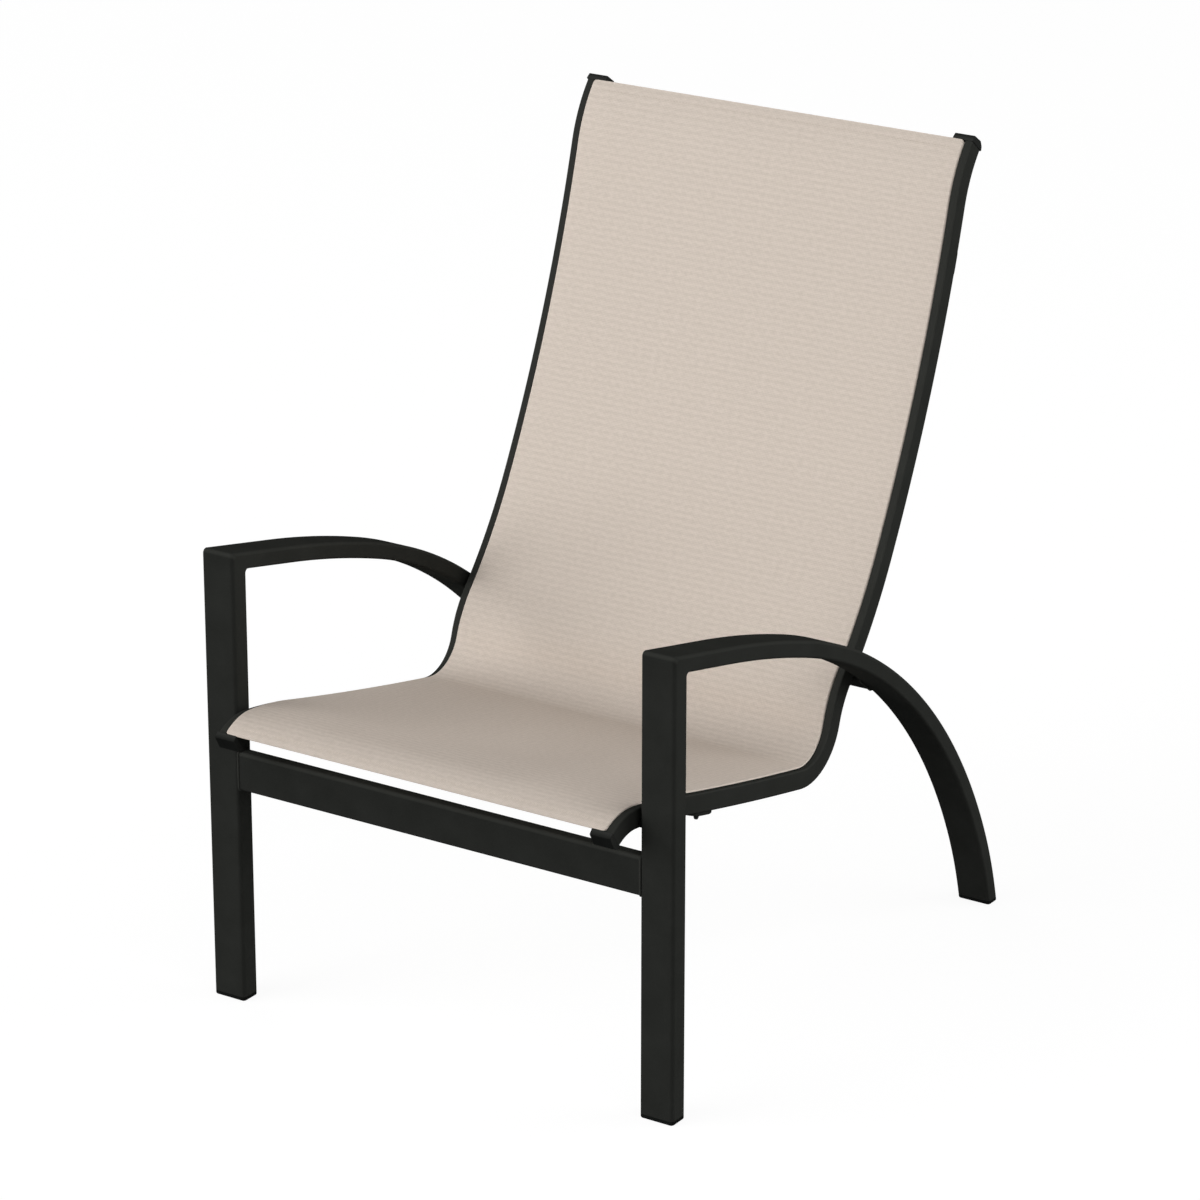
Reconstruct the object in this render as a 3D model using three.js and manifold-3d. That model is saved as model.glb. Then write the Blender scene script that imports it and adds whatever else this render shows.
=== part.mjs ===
// Sling patio chair: two welded side frames, two crossbars, and a fabric sling held in two bent rails.
// Millimetres, Z up. The chair faces -Y, and left and right are the sitter's.
// The origin is on the floor, under the middle of the chair's width and depth.

import * as THREE from 'three';
import { mergeVertices } from 'three/addons/utils/BufferGeometryUtils.js';
import Module from 'manifold-3d';

const wasm = await Module();
wasm.setup();

// Clearances and cuts
const seatGap = 0.3;
const boreClearance = 0.4;
const overrun = 20;

// Overall width, and the front leg tube, whose front face lies this far in front of the origin
const overallWidth = 660;
const legFrontToOrigin = 359.43;
const legWidth = 44;
const legDepth = 25;
const tubeWall = 2;
const tubeChamfer = 2.4;

// Arm tube, from the front leg's top corner over the arm and down to the rear foot
const armTopHeight = 578.4;
const armThickness = 20.8;
const armSlope = -12.3;
const armFrontRun = 129;
const armCrownLength = 185;
const armSweepLength = 599.5;
const armFootLength = 113.8;
const armBends = [
    { length: armFrontRun, turn: 0, steps: 1 },
    { length: armCrownLength, turn: -6.6, steps: 3 },
    { length: armSweepLength, turn: -47, steps: 12 },
    { length: armFootLength, turn: -11.4, steps: 3 },
];

// Crossbars. The front one hangs this far below the rails, and the rear one lies in the arm tubes.
const frontCrossbarHeight = 41.5;
const frontCrossbarDepth = 24;
const frontCrossbarDrop = 35;
const rearCrossbarWidth = 36;

// Glides
const glideHeight = 5;
const glideChamfer = 1.6;
const glidePlugHeight = 14;
const glidePlugClearance = 0.4;

// Sling rail section: a slot in the front face, a channel behind it and a chamber at the rear
const railWidth = 25;
const railDepth = 25;
const railChamfer = 1.5;
const railWall = 2;
const railToArmGap = 9.5;
const slotFromOutside = 8.4;
const slotWidth = 3;
const slotLip = 3;
const channelSize = 9.2;

// Sling rail path along its front face, from the seat's front edge to the top of the back
const railReach = 45.1;
const railFrontHeight = 370.4;
const railFrontSlope = 33.5;
const noseLength = 53.3;
const thighLength = 77;
const seatLength = 298.2;
const lapLength = 77.4;
const hollowLength = 63;
const lumbarLength = 153;
const backLength = 431.5;
const crestLength = 82.2;
const railBends = [
    { length: noseLength, turn: -38.9, steps: 6 },
    { length: thighLength, turn: -8.7, steps: 3 },
    { length: seatLength, turn: 2.8, steps: 3 },
    { length: lapLength, turn: 85, steps: 12 },
    { length: hollowLength, turn: -25.7, steps: 5 },
    { length: lumbarLength, turn: 13.7, steps: 4 },
    { length: backLength, turn: 13.3, steps: 5 },
    { length: crestLength, turn: -24.6, steps: 6 },
];

// Rail end caps: they rise from their front edge to a crown and fall to a lower heel
const capFrontRise = 8.5;
const capCrownRise = 11.5;
const capHeelRise = 5.5;
const capCrownDepth = 18;
const capFrontEdge = 1.5;
const capProud = 1;
const capChamfer = 1.2;
const capPlugLength = 8;
const capPlugClearance = 0.6;

// Sling and its splines
const slingThickness = 1.2;
const hemSlotClearance = 0.4;
const hemChannelClearance = 0.5;
const hemWall = 1.5;
const hemEndInset = 3;
const splineClearance = 0.3;
const splineChamfer = 1.2;

// Spreader bars: round tubes with flattened ends, bowed away from the sitter
const spreaderDiameter = 28;
const spreaderEndWidth = 44;
const spreaderEndThickness = 4.4;
const spreaderEndInset = 2.5;
const spreaderFlatLength = 36;
const spreaderTaperLength = 60;
const spreaderBow = 22;
const spreaderCornerCut = 9;
const seatSpreaderAlongRail = 206;
const backSpreaderFromTop = 150;
const spreaderSides = 16;
const spreaderSteps = 24;

// Bolts and spacers
const boltDiameter = 6;
const boltHeadDiameter = 11;
const spreaderBoltHeadDiameter = 8.5;
const boltHeadHeight = 4.4;
const boltCrown = 1.2;
const boltGrip = 5;
const boltSides = 16;
const spacerDiameter = 11;
const rearSpacerThickness = 2.4;
const rearSpacerSize = 16;

// Finishes
const powderCoat = { color: 0x242523, roughness: 0.62, metalness: 0.2 };
const meshFabric = { color: 0xcdc1b4, roughness: 0.85, metalness: 0 };
const blackPlastic = { color: 0x1c1d1c, roughness: 0.5, metalness: 0 };
const blackSteel = { color: 0x2a2b2a, roughness: 0.4, metalness: 0.8 };
const paleNylon = { color: 0xd8d6d0, roughness: 0.5, metalness: 0 };

// Places that several pieces share
const sides = [{ name: 'left', sign: 1 }, { name: 'right', sign: -1 }];
const radians = THREE.MathUtils.degToRad;
const legInnerFace = overallWidth / 2 - legWidth;
const railOuterFace = legInnerFace - railToArmGap;
const railMiddle = railOuterFace - railWidth / 2;
const slotMiddle = railOuterFace - slotFromOutside - slotWidth / 2;
const channelMiddleDepth = slotLip + channelSize / 2;
const chamberFrontDepth = slotLip + channelSize + railWall;
const chamberRearDepth = railDepth - railWall;
const tubeTop = glideHeight + seatGap;

// A path lies in the side view. Each station has its place (y, z) and its length along the path,
// and flat chords join the stations. Depth is measured square to the chords, to the rear or underside.
class SidePath {
    constructor(y, z, slope, bends) {
        this.stations = [{ y, z, along: 0 }];
        let heading = radians(slope);
        for (const { length, turn, steps } of bends) {
            const step = length / steps;
            const half = radians(turn) / steps / 2;
            const chord = half === 0 ? step : (step * Math.sin(half)) / half;
            for (let i = 0; i < steps; i++) {
                const last = this.stations.at(-1);
                this.stations.push({
                    y: last.y + chord * Math.cos(heading + half),
                    z: last.z + chord * Math.sin(heading + half),
                    along: last.along + step,
                });
                heading += 2 * half;
            }
        }
    }

    get length() {
        return this.stations.at(-1).along;
    }

    heading(chord) {
        const [a, b] = [this.stations[chord], this.stations[chord + 1]];
        return Math.atan2(b.z - a.z, b.y - a.y);
    }

    // Place, heading and length at a share of one chord
    onChord(chord, share) {
        const [a, b] = [this.stations[chord], this.stations[chord + 1]];
        const mix = (key) => a[key] + (b[key] - a[key]) * share;
        return { y: mix('y'), z: mix('z'), along: mix('along'), heading: this.heading(chord) };
    }

    // Place at which a value of the stations, such as along or y, first reaches a wanted one
    where(key, wanted) {
        const end = this.stations.findIndex((station, i) => i > 0 && station[key] >= wanted);
        const chord = end - 1;
        const [a, b] = [this.stations[chord], this.stations[end]];
        return this.onChord(chord, (wanted - a[key]) / (b[key] - a[key]));
    }

    // Depth of a point behind the chord that is nearest to it
    depthOf(y, z) {
        let nearest = { distance: Infinity };
        for (let chord = 0; chord < this.stations.length - 1; chord++) {
            const [a, b] = [this.stations[chord], this.stations[chord + 1]];
            const run = (b.y - a.y) ** 2 + (b.z - a.z) ** 2;
            const share = ((y - a.y) * (b.y - a.y) + (z - a.z) * (b.z - a.z)) / run;
            const foot = this.onChord(chord, THREE.MathUtils.clamp(share, 0, 1));
            const distance = Math.hypot(y - foot.y, z - foot.z);
            const depth = (y - foot.y) * Math.sin(foot.heading) - (z - foot.z) * Math.cos(foot.heading);
            if (distance < nearest.distance) nearest = { distance, depth };
        }
        return nearest.depth;
    }

    // The line at one depth, with its ends moved outwards along the end chords
    line(depth, startReach = 0, endReach = 0) {
        const lastChord = this.stations.length - 2;
        const points = this.stations.map(({ y, z }, i) => {
            const before = this.heading(Math.max(i - 1, 0));
            const after = this.heading(Math.min(i, lastChord));
            const middle = (before + after) / 2;
            const miter = depth / Math.cos((after - before) / 2);
            return new THREE.Vector2(y + miter * Math.sin(middle), z - miter * Math.cos(middle));
        });
        const start = this.heading(0);
        const end = this.heading(lastChord);
        points[0].sub(new THREE.Vector2(Math.cos(start), Math.sin(start)).multiplyScalar(startReach));
        points.at(-1).add(new THREE.Vector2(Math.cos(end), Math.sin(end)).multiplyScalar(endReach));
        return points;
    }

    // The closed outline between two depths
    band(near, far, startReach = 0, endReach = 0) {
        const front = this.line(near, startReach, endReach);
        const back = this.line(far, startReach, endReach);
        return [...front, ...back.reverse()];
    }
}

// Solids for joining and cutting
function toSolid(geometry) {
    const bare = geometry.clone();
    bare.deleteAttribute('normal');
    bare.deleteAttribute('uv');
    const merged = mergeVertices(bare);
    const vertProperties = merged.attributes.position.array;
    const triVerts = new Uint32Array(merged.index.array);
    return new wasm.Manifold(new wasm.Mesh({ numProp: 3, vertProperties, triVerts }));
}

function toGeometry(solid) {
    const { vertProperties, triVerts } = solid.getMesh();
    const geometry = new THREE.BufferGeometry();
    geometry.setAttribute('position', new THREE.BufferAttribute(new Float32Array(vertProperties), 3));
    geometry.setIndex(new THREE.BufferAttribute(new Uint32Array(triVerts), 1));
    const faceted = geometry.toNonIndexed();
    faceted.computeVertexNormals();
    return faceted;
}

const point = (a, b) => new THREE.Vector2(a, b);
const sideView = new THREE.Matrix4().makeBasis(
    new THREE.Vector3(0, 1, 0),
    new THREE.Vector3(0, 0, 1),
    new THREE.Vector3(1, 0, 0),
);
const frontView = new THREE.Matrix4().makeBasis(
    new THREE.Vector3(1, 0, 0),
    new THREE.Vector3(0, 0, 1),
    new THREE.Vector3(0, -1, 0),
);

// An outline drawn in one view, as a solid between two planes, with its long edges chamfered
function prism(outline, view, from, to, chamfer = 0) {
    const [low, high] = [Math.min(from, to), Math.max(from, to)];
    const geometry = new THREE.ExtrudeGeometry(new THREE.Shape(outline), {
        depth: high - low - 2 * chamfer,
        bevelEnabled: chamfer > 0,
        bevelThickness: chamfer,
        bevelSize: chamfer,
        bevelOffset: -chamfer,
        bevelSegments: 1,
    });
    geometry.translate(0, 0, low + chamfer);
    geometry.applyMatrix4(view);
    return toSolid(geometry);
}

const sidePrism = (outline, from, to, chamfer) => prism(outline, sideView, from, to, chamfer);

function slab(bottom, top, reach) {
    const box = new THREE.BoxGeometry(2 * reach, 2 * reach, top - bottom);
    box.translate(0, 0, (bottom + top) / 2);
    return toSolid(box);
}

// A cylinder along Z, from one height to another
function rod(diameter, from, to, count = boltSides) {
    const geometry = new THREE.CylinderGeometry(diameter / 2, diameter / 2, to - from, count);
    geometry.rotateX(Math.PI / 2);
    geometry.translate(0, 0, (from + to) / 2);
    return geometry;
}

// A frame is a place and a turn, for pieces and for the holes that they go through
function frameAt(x, y, z, turnX, turnY = 0) {
    const frame = new THREE.Object3D();
    frame.position.set(x, y, z);
    frame.rotation.set(turnX, turnY, 0);
    frame.updateMatrix();
    return frame;
}

// A frame on a path at a depth, with its Y axis along the path and its Z axis out of the front
function pathFrame(place, depth, x = 0) {
    const { y, z, heading } = place;
    return frameAt(x, y + depth * Math.sin(heading), z - depth * Math.cos(heading), heading);
}

function bored(solid, frames, from, to) {
    let result = solid;
    for (const frame of frames) {
        const cutter = rod(boltDiameter + 2 * boreClearance, from, to);
        cutter.applyMatrix4(frame.matrix);
        result = result.subtract(toSolid(cutter));
    }
    return result;
}

const chair = new THREE.Group();

function addPiece(name, geometry, finish, frame) {
    const mesh = new THREE.Mesh(geometry, new THREE.MeshStandardMaterial(finish));
    mesh.name = name;
    if (frame) {
        mesh.position.copy(frame.position);
        mesh.rotation.copy(frame.rotation);
    }
    chair.add(mesh);
}

// Paths of the arm tube's outer face and of the rail's front face, with the leg's front face at zero depth
const armPath = new SidePath(0, armTopHeight, armSlope, armBends);
const railPath = new SidePath(-railReach, railFrontHeight, railFrontSlope, railBends);

// Frames of the bolts. Each has its Z axis along the bolt, towards the thread's end.
const legMiddle = legDepth / 2;
const railAtLeg = railPath.where('y', legMiddle);
const chamberMiddleDepth = (chamberFrontDepth + chamberRearDepth) / 2;
const frontBoltHeight = railAtLeg.z - chamberMiddleDepth / Math.cos(railAtLeg.heading);
const frontBoltFrame = ({ sign }) =>
    frameAt(sign * railOuterFace, legMiddle, frontBoltHeight, 0, (sign * Math.PI) / 2);

// The rear crossbar lies in the arm tube, just far enough down it to leave the spacer's room
const crossbarStandoff = railDepth + rearSpacerThickness + 2 * seatGap;
function rearCrossbarPlace() {
    let [low, high] = [0, armPath.length];
    for (let i = 0; i < 50; i++) {
        const along = (low + high) / 2;
        const frame = pathFrame(armPath.where('along', along), armThickness / 2);
        if (railPath.depthOf(frame.position.y, frame.position.z) < crossbarStandoff) low = along;
        else high = along;
    }
    return armPath.where('along', high + rearCrossbarWidth / 2);
}
const crossbarPlace = rearCrossbarPlace();
const rearCrossbarFrame = pathFrame(crossbarPlace, armThickness / 2);
const rearBoltTurn = crossbarPlace.heading + Math.PI / 2;
const rearBoltFrame = ({ sign }) =>
    frameAt(sign * railMiddle, rearCrossbarFrame.position.y, rearCrossbarFrame.position.z, rearBoltTurn);

const spreaderDepth = railDepth + seatGap + spreaderEndThickness / 2;
const spreaderPlaces = {
    seat: railPath.where('along', seatSpreaderAlongRail),
    back: railPath.where('along', railPath.length - backSpreaderFromTop),
};
const spreaderBoltFrame = (place, { sign }) => pathFrame(place, spreaderDepth, sign * railMiddle);

// Lengths of the bolts from their frames: the head's seat is behind, the thread's end in front
const spreaderBolt = {
    head: spreaderBoltHeadDiameter,
    seat: spreaderEndThickness / 2 + seatGap,
    tip: spreaderEndThickness / 2 + seatGap + railWall + boltGrip,
};
const frontBolt = {
    head: boltHeadDiameter,
    seat: railWidth + seatGap,
    tip: railToArmGap + tubeWall + boltGrip,
};
const rearBolt = {
    head: boltHeadDiameter,
    seat: rearCrossbarWidth / 2 + seatGap,
    tip: rearCrossbarWidth / 2 + rearSpacerThickness + 2 * seatGap + railWall + boltGrip,
};

// Legs and arms, mitred to each other at the front corner
const armCornerDrop = armThickness / Math.cos(radians(armSlope));
const miterOuter = point(0, armTopHeight);
const miterInner = point(legDepth, armTopHeight + legDepth * Math.tan(radians(armSlope)) - armCornerDrop);
const miterAlong = miterInner.clone().sub(miterOuter).normalize();
const miterShift = seatGap / Math.cos(Math.atan2(miterAlong.y, miterAlong.x));

function legSolid(inset, from, to) {
    const outline = [
        point(inset, -overrun), point(legDepth - inset, -overrun),
        point(legDepth - inset, armTopHeight + overrun), point(inset, armTopHeight + overrun),
    ];
    return sidePrism(outline, from, to, inset > 0 ? 0 : tubeChamfer);
}

function legTrim() {
    const outer = miterOuter.clone().addScaledVector(miterAlong, -overrun);
    const inner = miterInner.clone().addScaledVector(miterAlong, overrun);
    const outline = [
        point(outer.x, tubeTop), point(inner.x, tubeTop),
        point(inner.x, inner.y - miterShift), point(outer.x, outer.y - miterShift),
    ];
    return sidePrism(outline, -overallWidth, overallWidth);
}

function armSolid(inset, from, to) {
    const outline = armPath.band(inset, armThickness - inset, overrun, armTopHeight);
    return sidePrism(outline, from, to, inset > 0 ? 0 : tubeChamfer);
}

function armTrim() {
    const outer = miterOuter.clone().addScaledVector(miterAlong, -overrun);
    const inner = miterInner.clone().addScaledVector(miterAlong, overrun);
    const behind = armPath.length;
    const outline = [
        outer, inner, point(inner.x, tubeTop), point(behind, tubeTop), point(behind, outer.y),
    ];
    return sidePrism(outline, -overallWidth, overallWidth);
}

for (const side of sides) {
    const [inner, outer] = [side.sign * legInnerFace, (side.sign * overallWidth) / 2];
    const [boreInner, boreOuter] = [inner + side.sign * tubeWall, outer - side.sign * tubeWall];
    const leg = legSolid(0, inner, outer).subtract(legSolid(tubeWall, boreInner, boreOuter));
    const boredLeg = bored(leg, [frontBoltFrame(side)], 0, frontBolt.tip + boltGrip);
    addPiece(`${side.name}_front_leg`, toGeometry(boredLeg.intersect(legTrim())), powderCoat);

    const arm = armSolid(0, inner, outer).subtract(armSolid(tubeWall, boreInner, boreOuter));
    addPiece(`${side.name}_arm_rear_leg`, toGeometry(arm.intersect(armTrim())), powderCoat);
}

// Glides: a foot with a chamfered edge, and a plug that stands in the tube
const trough = (low, high) => [
    point(low + glideChamfer, 0), point(high - glideChamfer, 0),
    point(high - glideChamfer + overrun, overrun), point(low + glideChamfer - overrun, overrun),
];

function glideSolid(outerSolid, plugSolid, frontEdge, rearEdge, inner, outer) {
    const reach = overallWidth + armPath.length;
    const [low, high] = [Math.min(inner, outer), Math.max(inner, outer)];
    const sideTrough = sidePrism(trough(frontEdge, rearEdge), low, high);
    const frontTrough = prism(trough(low, high), frontView, -reach, reach);
    const foot = outerSolid.intersect(slab(0, glideHeight, reach)).intersect(sideTrough).intersect(frontTrough);
    const plug = plugSolid.intersect(slab(glideHeight / 2, glideHeight + glidePlugHeight, reach));
    return foot.add(plug);
}

// Where one face of the arm tube would reach the floor
function floorCrossing(depth) {
    const line = armPath.line(depth, 0, armTopHeight);
    const below = line.findIndex(({ y }) => y <= 0);
    const [a, b] = [line[below - 1], line[below]];
    return a.x + ((b.x - a.x) * a.y) / (a.y - b.y);
}

for (const side of sides) {
    const [inner, outer] = [side.sign * legInnerFace, (side.sign * overallWidth) / 2];
    const plugWall = tubeWall + glidePlugClearance;
    const [plugInner, plugOuter] = [inner + side.sign * plugWall, outer - side.sign * plugWall];
    const front = glideSolid(
        legSolid(0, inner, outer), legSolid(plugWall, plugInner, plugOuter), 0, legDepth, inner, outer,
    );
    addPiece(`${side.name}_front_glide`, toGeometry(front), blackPlastic);
    const rear = glideSolid(
        armSolid(0, inner, outer), armSolid(plugWall, plugInner, plugOuter),
        floorCrossing(armThickness), floorCrossing(0), inner, outer,
    );
    addPiece(`${side.name}_rear_glide`, toGeometry(rear), blackPlastic);
}

// Crossbars: open tubes between the legs and between the arms
function crossbarSolid(depth, height) {
    const halfLength = legInnerFace - seatGap;
    const rectangle = (inset) => [
        point(inset - depth / 2, inset - height / 2), point(depth / 2 - inset, inset - height / 2),
        point(depth / 2 - inset, height / 2 - inset), point(inset - depth / 2, height / 2 - inset),
    ];
    const bar = sidePrism(rectangle(0), -halfLength - overrun, halfLength + overrun, tubeChamfer);
    const between = toSolid(new THREE.BoxGeometry(2 * halfLength, depth + overrun, height + overrun));
    const bore = sidePrism(rectangle(tubeWall), -halfLength - overrun, halfLength + overrun);
    return bar.intersect(between).subtract(bore);
}

const railUnderside = railAtLeg.z - railDepth / Math.cos(railAtLeg.heading);
const frontCrossbarMiddle = railUnderside - frontCrossbarDrop - frontCrossbarHeight / 2;
addPiece(
    'front_crossbar',
    toGeometry(crossbarSolid(frontCrossbarDepth, frontCrossbarHeight)),
    powderCoat,
    frameAt(0, legMiddle, frontCrossbarMiddle, 0),
);

const crossbarBores = sides.map(({ sign }) => frameAt(sign * railMiddle, 0, 0, Math.PI / 2));
const rearCrossbar = bored(
    crossbarSolid(rearCrossbarWidth, armThickness), crossbarBores, -rearCrossbarWidth, rearCrossbarWidth,
);
addPiece('rear_crossbar', toGeometry(rearCrossbar), powderCoat, rearCrossbarFrame);

// Sling rails
for (const side of sides) {
    const x = (fromOutside) => side.sign * (railOuterFace - fromOutside);
    const cut = (near, far, from, to) => sidePrism(railPath.band(near, far, overrun, overrun), x(from), x(to));
    const slotTo = slotFromOutside + slotWidth;
    const channelFrom = slotFromOutside + (slotWidth - channelSize) / 2;
    const body = sidePrism(railPath.band(0, railDepth), x(0), x(railWidth), railChamfer);
    const rail = body
        .subtract(cut(-overrun, channelMiddleDepth, slotFromOutside, slotTo))
        .subtract(cut(slotLip, slotLip + channelSize, channelFrom, channelFrom + channelSize))
        .subtract(cut(chamberFrontDepth, chamberRearDepth, railWall, railWidth - railWall));
    const spreaderFrames = Object.values(spreaderPlaces).map((place) => spreaderBoltFrame(place, side));
    const spreaderBored = bored(rail, spreaderFrames, 0, spreaderBolt.tip);
    const rearBored = bored(spreaderBored, [rearBoltFrame(side)], 0, rearBolt.tip);
    const frontBored = bored(rearBored, [frontBoltFrame(side)], -railWidth - overrun, overrun);
    addPiece(`${side.name}_sling_rail`, toGeometry(frontBored), powderCoat);
}

// Rail end caps: a crowned head over the rail's end and a plug in its chamber, with Z out of the rail's end
function capSolid(flip) {
    const halfWidth = railWidth / 2 + capProud;
    const y = (depth) => flip * (railDepth / 2 - depth);
    const outline = [
        point(y(-capProud), seatGap),
        point(y(-capProud), seatGap + capFrontRise - capFrontEdge),
        point(y(capFrontEdge - capProud), seatGap + capFrontRise),
        point(y(capCrownDepth), seatGap + capCrownRise),
        point(y(railDepth + capProud), seatGap + capHeelRise),
        point(y(railDepth + capProud), seatGap),
    ];
    const head = sidePrism(outline, -halfWidth, halfWidth, capChamfer);
    const plugWidth = railWidth - 2 * railWall - 2 * capPlugClearance;
    const plugDepth = chamberRearDepth - chamberFrontDepth - 2 * capPlugClearance;
    const plugTop = seatGap + capHeelRise / 2;
    const plugReach = capPlugLength + plugTop;
    const plug = new THREE.BoxGeometry(plugWidth, plugDepth, plugReach);
    const plugMiddle = flip * (railDepth / 2 - chamberMiddleDepth);
    plug.translate(0, plugMiddle, plugTop - plugReach / 2);
    return head.add(toSolid(plug));
}

const railEnds = [
    { name: 'front', place: railPath.onChord(0, 0), turn: Math.PI / 2, flip: 1 },
    { name: 'top', place: railPath.onChord(railPath.stations.length - 2, 1), turn: -Math.PI / 2, flip: -1 },
];
for (const side of sides) {
    for (const { name, place, turn, flip } of railEnds) {
        const frame = pathFrame(place, railDepth / 2, side.sign * railMiddle);
        frame.rotation.x += turn;
        addPiece(`${side.name}_${name}_rail_cap`, toGeometry(capSolid(flip)), blackPlastic, frame);
    }
}

// Sling: the stretched panel, the hems that go into the slots, and the loops round the splines
const hemThickness = slotWidth - 2 * hemSlotClearance;
const hemLoopSize = channelSize - 2 * hemChannelClearance;
const tunnelSize = hemLoopSize - 2 * hemWall;
const splineSize = tunnelSize - 2 * splineClearance;

function slingSolid() {
    const edge = slotMiddle + hemThickness / 2;
    const front = -seatGap - slingThickness;
    let solid = sidePrism(railPath.band(front, -seatGap), -edge, edge);
    for (const { sign } of sides) {
        const x = (size) => [sign * slotMiddle - size / 2, sign * slotMiddle + size / 2];
        const loopFront = channelMiddleDepth - hemLoopSize / 2;
        const loopRear = channelMiddleDepth + hemLoopSize / 2;
        const tunnelFront = channelMiddleDepth - tunnelSize / 2;
        const hem = railPath.band(front, tunnelFront, -hemEndInset, -hemEndInset);
        const loop = railPath.band(loopFront, loopRear, -hemEndInset, -hemEndInset);
        const tunnel = railPath.band(tunnelFront, tunnelFront + tunnelSize, overrun, overrun);
        solid = solid
            .add(sidePrism(hem, ...x(hemThickness)))
            .add(sidePrism(loop, ...x(hemLoopSize)))
            .subtract(sidePrism(tunnel, ...x(tunnelSize)));
    }
    return solid;
}
addPiece('sling', toGeometry(slingSolid()), meshFabric);

for (const { name, sign } of sides) {
    const half = splineSize / 2;
    const outline = railPath.band(channelMiddleDepth - half, channelMiddleDepth + half);
    const spline = sidePrism(outline, sign * slotMiddle - half, sign * slotMiddle + half, splineChamfer);
    addPiece(`${name}_spline`, toGeometry(spline), paleNylon);
}

// Spreader bars, drawn along X and bowed down their own Z axis
function spreaderGeometry() {
    const halfLength = railOuterFace - spreaderEndInset;
    const tube = new THREE.CylinderGeometry(
        spreaderDiameter / 2, spreaderDiameter / 2, 2 * halfLength, spreaderSides, spreaderSteps,
    );
    tube.rotateZ(Math.PI / 2);
    const positions = tube.attributes.position;
    const roundHalf = halfLength - spreaderFlatLength - spreaderTaperLength;
    for (let i = 0; i < positions.count; i++) {
        const across = Math.abs(positions.getX(i));
        const flat = THREE.MathUtils.smoothstep(across, roundHalf, roundHalf + spreaderTaperLength);
        const widen = 1 + (spreaderEndWidth / spreaderDiameter - 1) * flat;
        const halfHeight = THREE.MathUtils.lerp(spreaderDiameter / 2, spreaderEndThickness / 2, flat);
        const height = THREE.MathUtils.clamp(positions.getZ(i), -halfHeight, halfHeight);
        const bowShare = THREE.MathUtils.clamp(across / (roundHalf + spreaderTaperLength), 0, 1);
        const bow = (spreaderBow * (1 + Math.cos(Math.PI * bowShare))) / 2;
        positions.setY(i, positions.getY(i) * widen);
        positions.setZ(i, height - bow);
    }
    const halfWidth = spreaderEndWidth / 2;
    const plan = [
        point(-halfLength, -halfWidth), point(halfLength, -halfWidth),
        point(halfLength + spreaderCornerCut, 0), point(halfLength, halfWidth),
        point(-halfLength, halfWidth), point(-halfLength - spreaderCornerCut, 0),
    ];
    const planPrism = prism(plan, new THREE.Matrix4(), -spreaderBow - spreaderDiameter, spreaderDiameter);
    const bores = sides.map(({ sign }) => frameAt(sign * railMiddle, 0, 0, 0));
    return toGeometry(bored(toSolid(tube).intersect(planPrism), bores, -spreaderDiameter, spreaderDiameter));
}

for (const [name, place] of Object.entries(spreaderPlaces)) {
    addPiece(`${name}_spreader_bar`, spreaderGeometry(), powderCoat, pathFrame(place, spreaderDepth));
}

// Bolts: a crowned head and a plain shank, along Z from the head's seat to the tip
function boltGeometry({ seat, tip, head }) {
    const [headRadius, shankRadius] = [head / 2, boltDiameter / 2];
    const outline = [
        point(0, -seat - boltHeadHeight), point(headRadius - boltCrown, -seat - boltHeadHeight),
        point(headRadius, -seat - boltHeadHeight + boltCrown), point(headRadius, -seat),
        point(shankRadius, -seat), point(shankRadius, tip), point(0, tip),
    ];
    const geometry = new THREE.LatheGeometry(outline, boltSides);
    geometry.rotateX(Math.PI / 2);
    return toGeometry(toSolid(geometry));
}

for (const side of sides) {
    addPiece(`${side.name}_front_rail_bolt`, boltGeometry(frontBolt), blackSteel, frontBoltFrame(side));
    addPiece(`${side.name}_rear_rail_bolt`, boltGeometry(rearBolt), blackSteel, rearBoltFrame(side));
    for (const [name, place] of Object.entries(spreaderPlaces)) {
        const frame = spreaderBoltFrame(place, side);
        addPiece(`${side.name}_${name}_spreader_bolt`, boltGeometry(spreaderBolt), blackSteel, frame);
    }
}

// Front spacers: sleeves between the rails and the legs
for (const side of sides) {
    const sleeve = toSolid(rod(spacerDiameter, seatGap, railToArmGap - seatGap));
    const spacer = bored(sleeve, [frameAt(0, 0, 0, 0)], -overrun, railToArmGap + overrun);
    addPiece(`${side.name}_front_spacer`, toGeometry(spacer), blackPlastic, frontBoltFrame(side));
}

// Rear spacers: pads on the rear crossbar's front side, cut to the slope of the rail's rear face
for (const side of sides) {
    const block = new THREE.BoxGeometry(rearSpacerSize, overrun, rearSpacerSize);
    block.translate(side.sign * railMiddle, -rearCrossbarWidth / 2 - seatGap - overrun / 2, 0);
    block.applyMatrix4(rearCrossbarFrame.matrix);
    const railSpace = sidePrism(railPath.band(0, railDepth + seatGap), -overallWidth, overallWidth);
    const spacer = bored(toSolid(block).subtract(railSpace), [rearBoltFrame(side)], 0, rearBolt.tip);
    addPiece(`${side.name}_rear_spacer`, toGeometry(spacer), blackPlastic);
}

chair.position.y = -legFrontToOrigin;
export default chair;
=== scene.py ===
import logging
import math
from dataclasses import dataclass
from enum import Enum
from typing import Any, Callable, Iterable, Sequence

import bmesh
import bpy
from mathutils import Matrix, Vector


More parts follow.
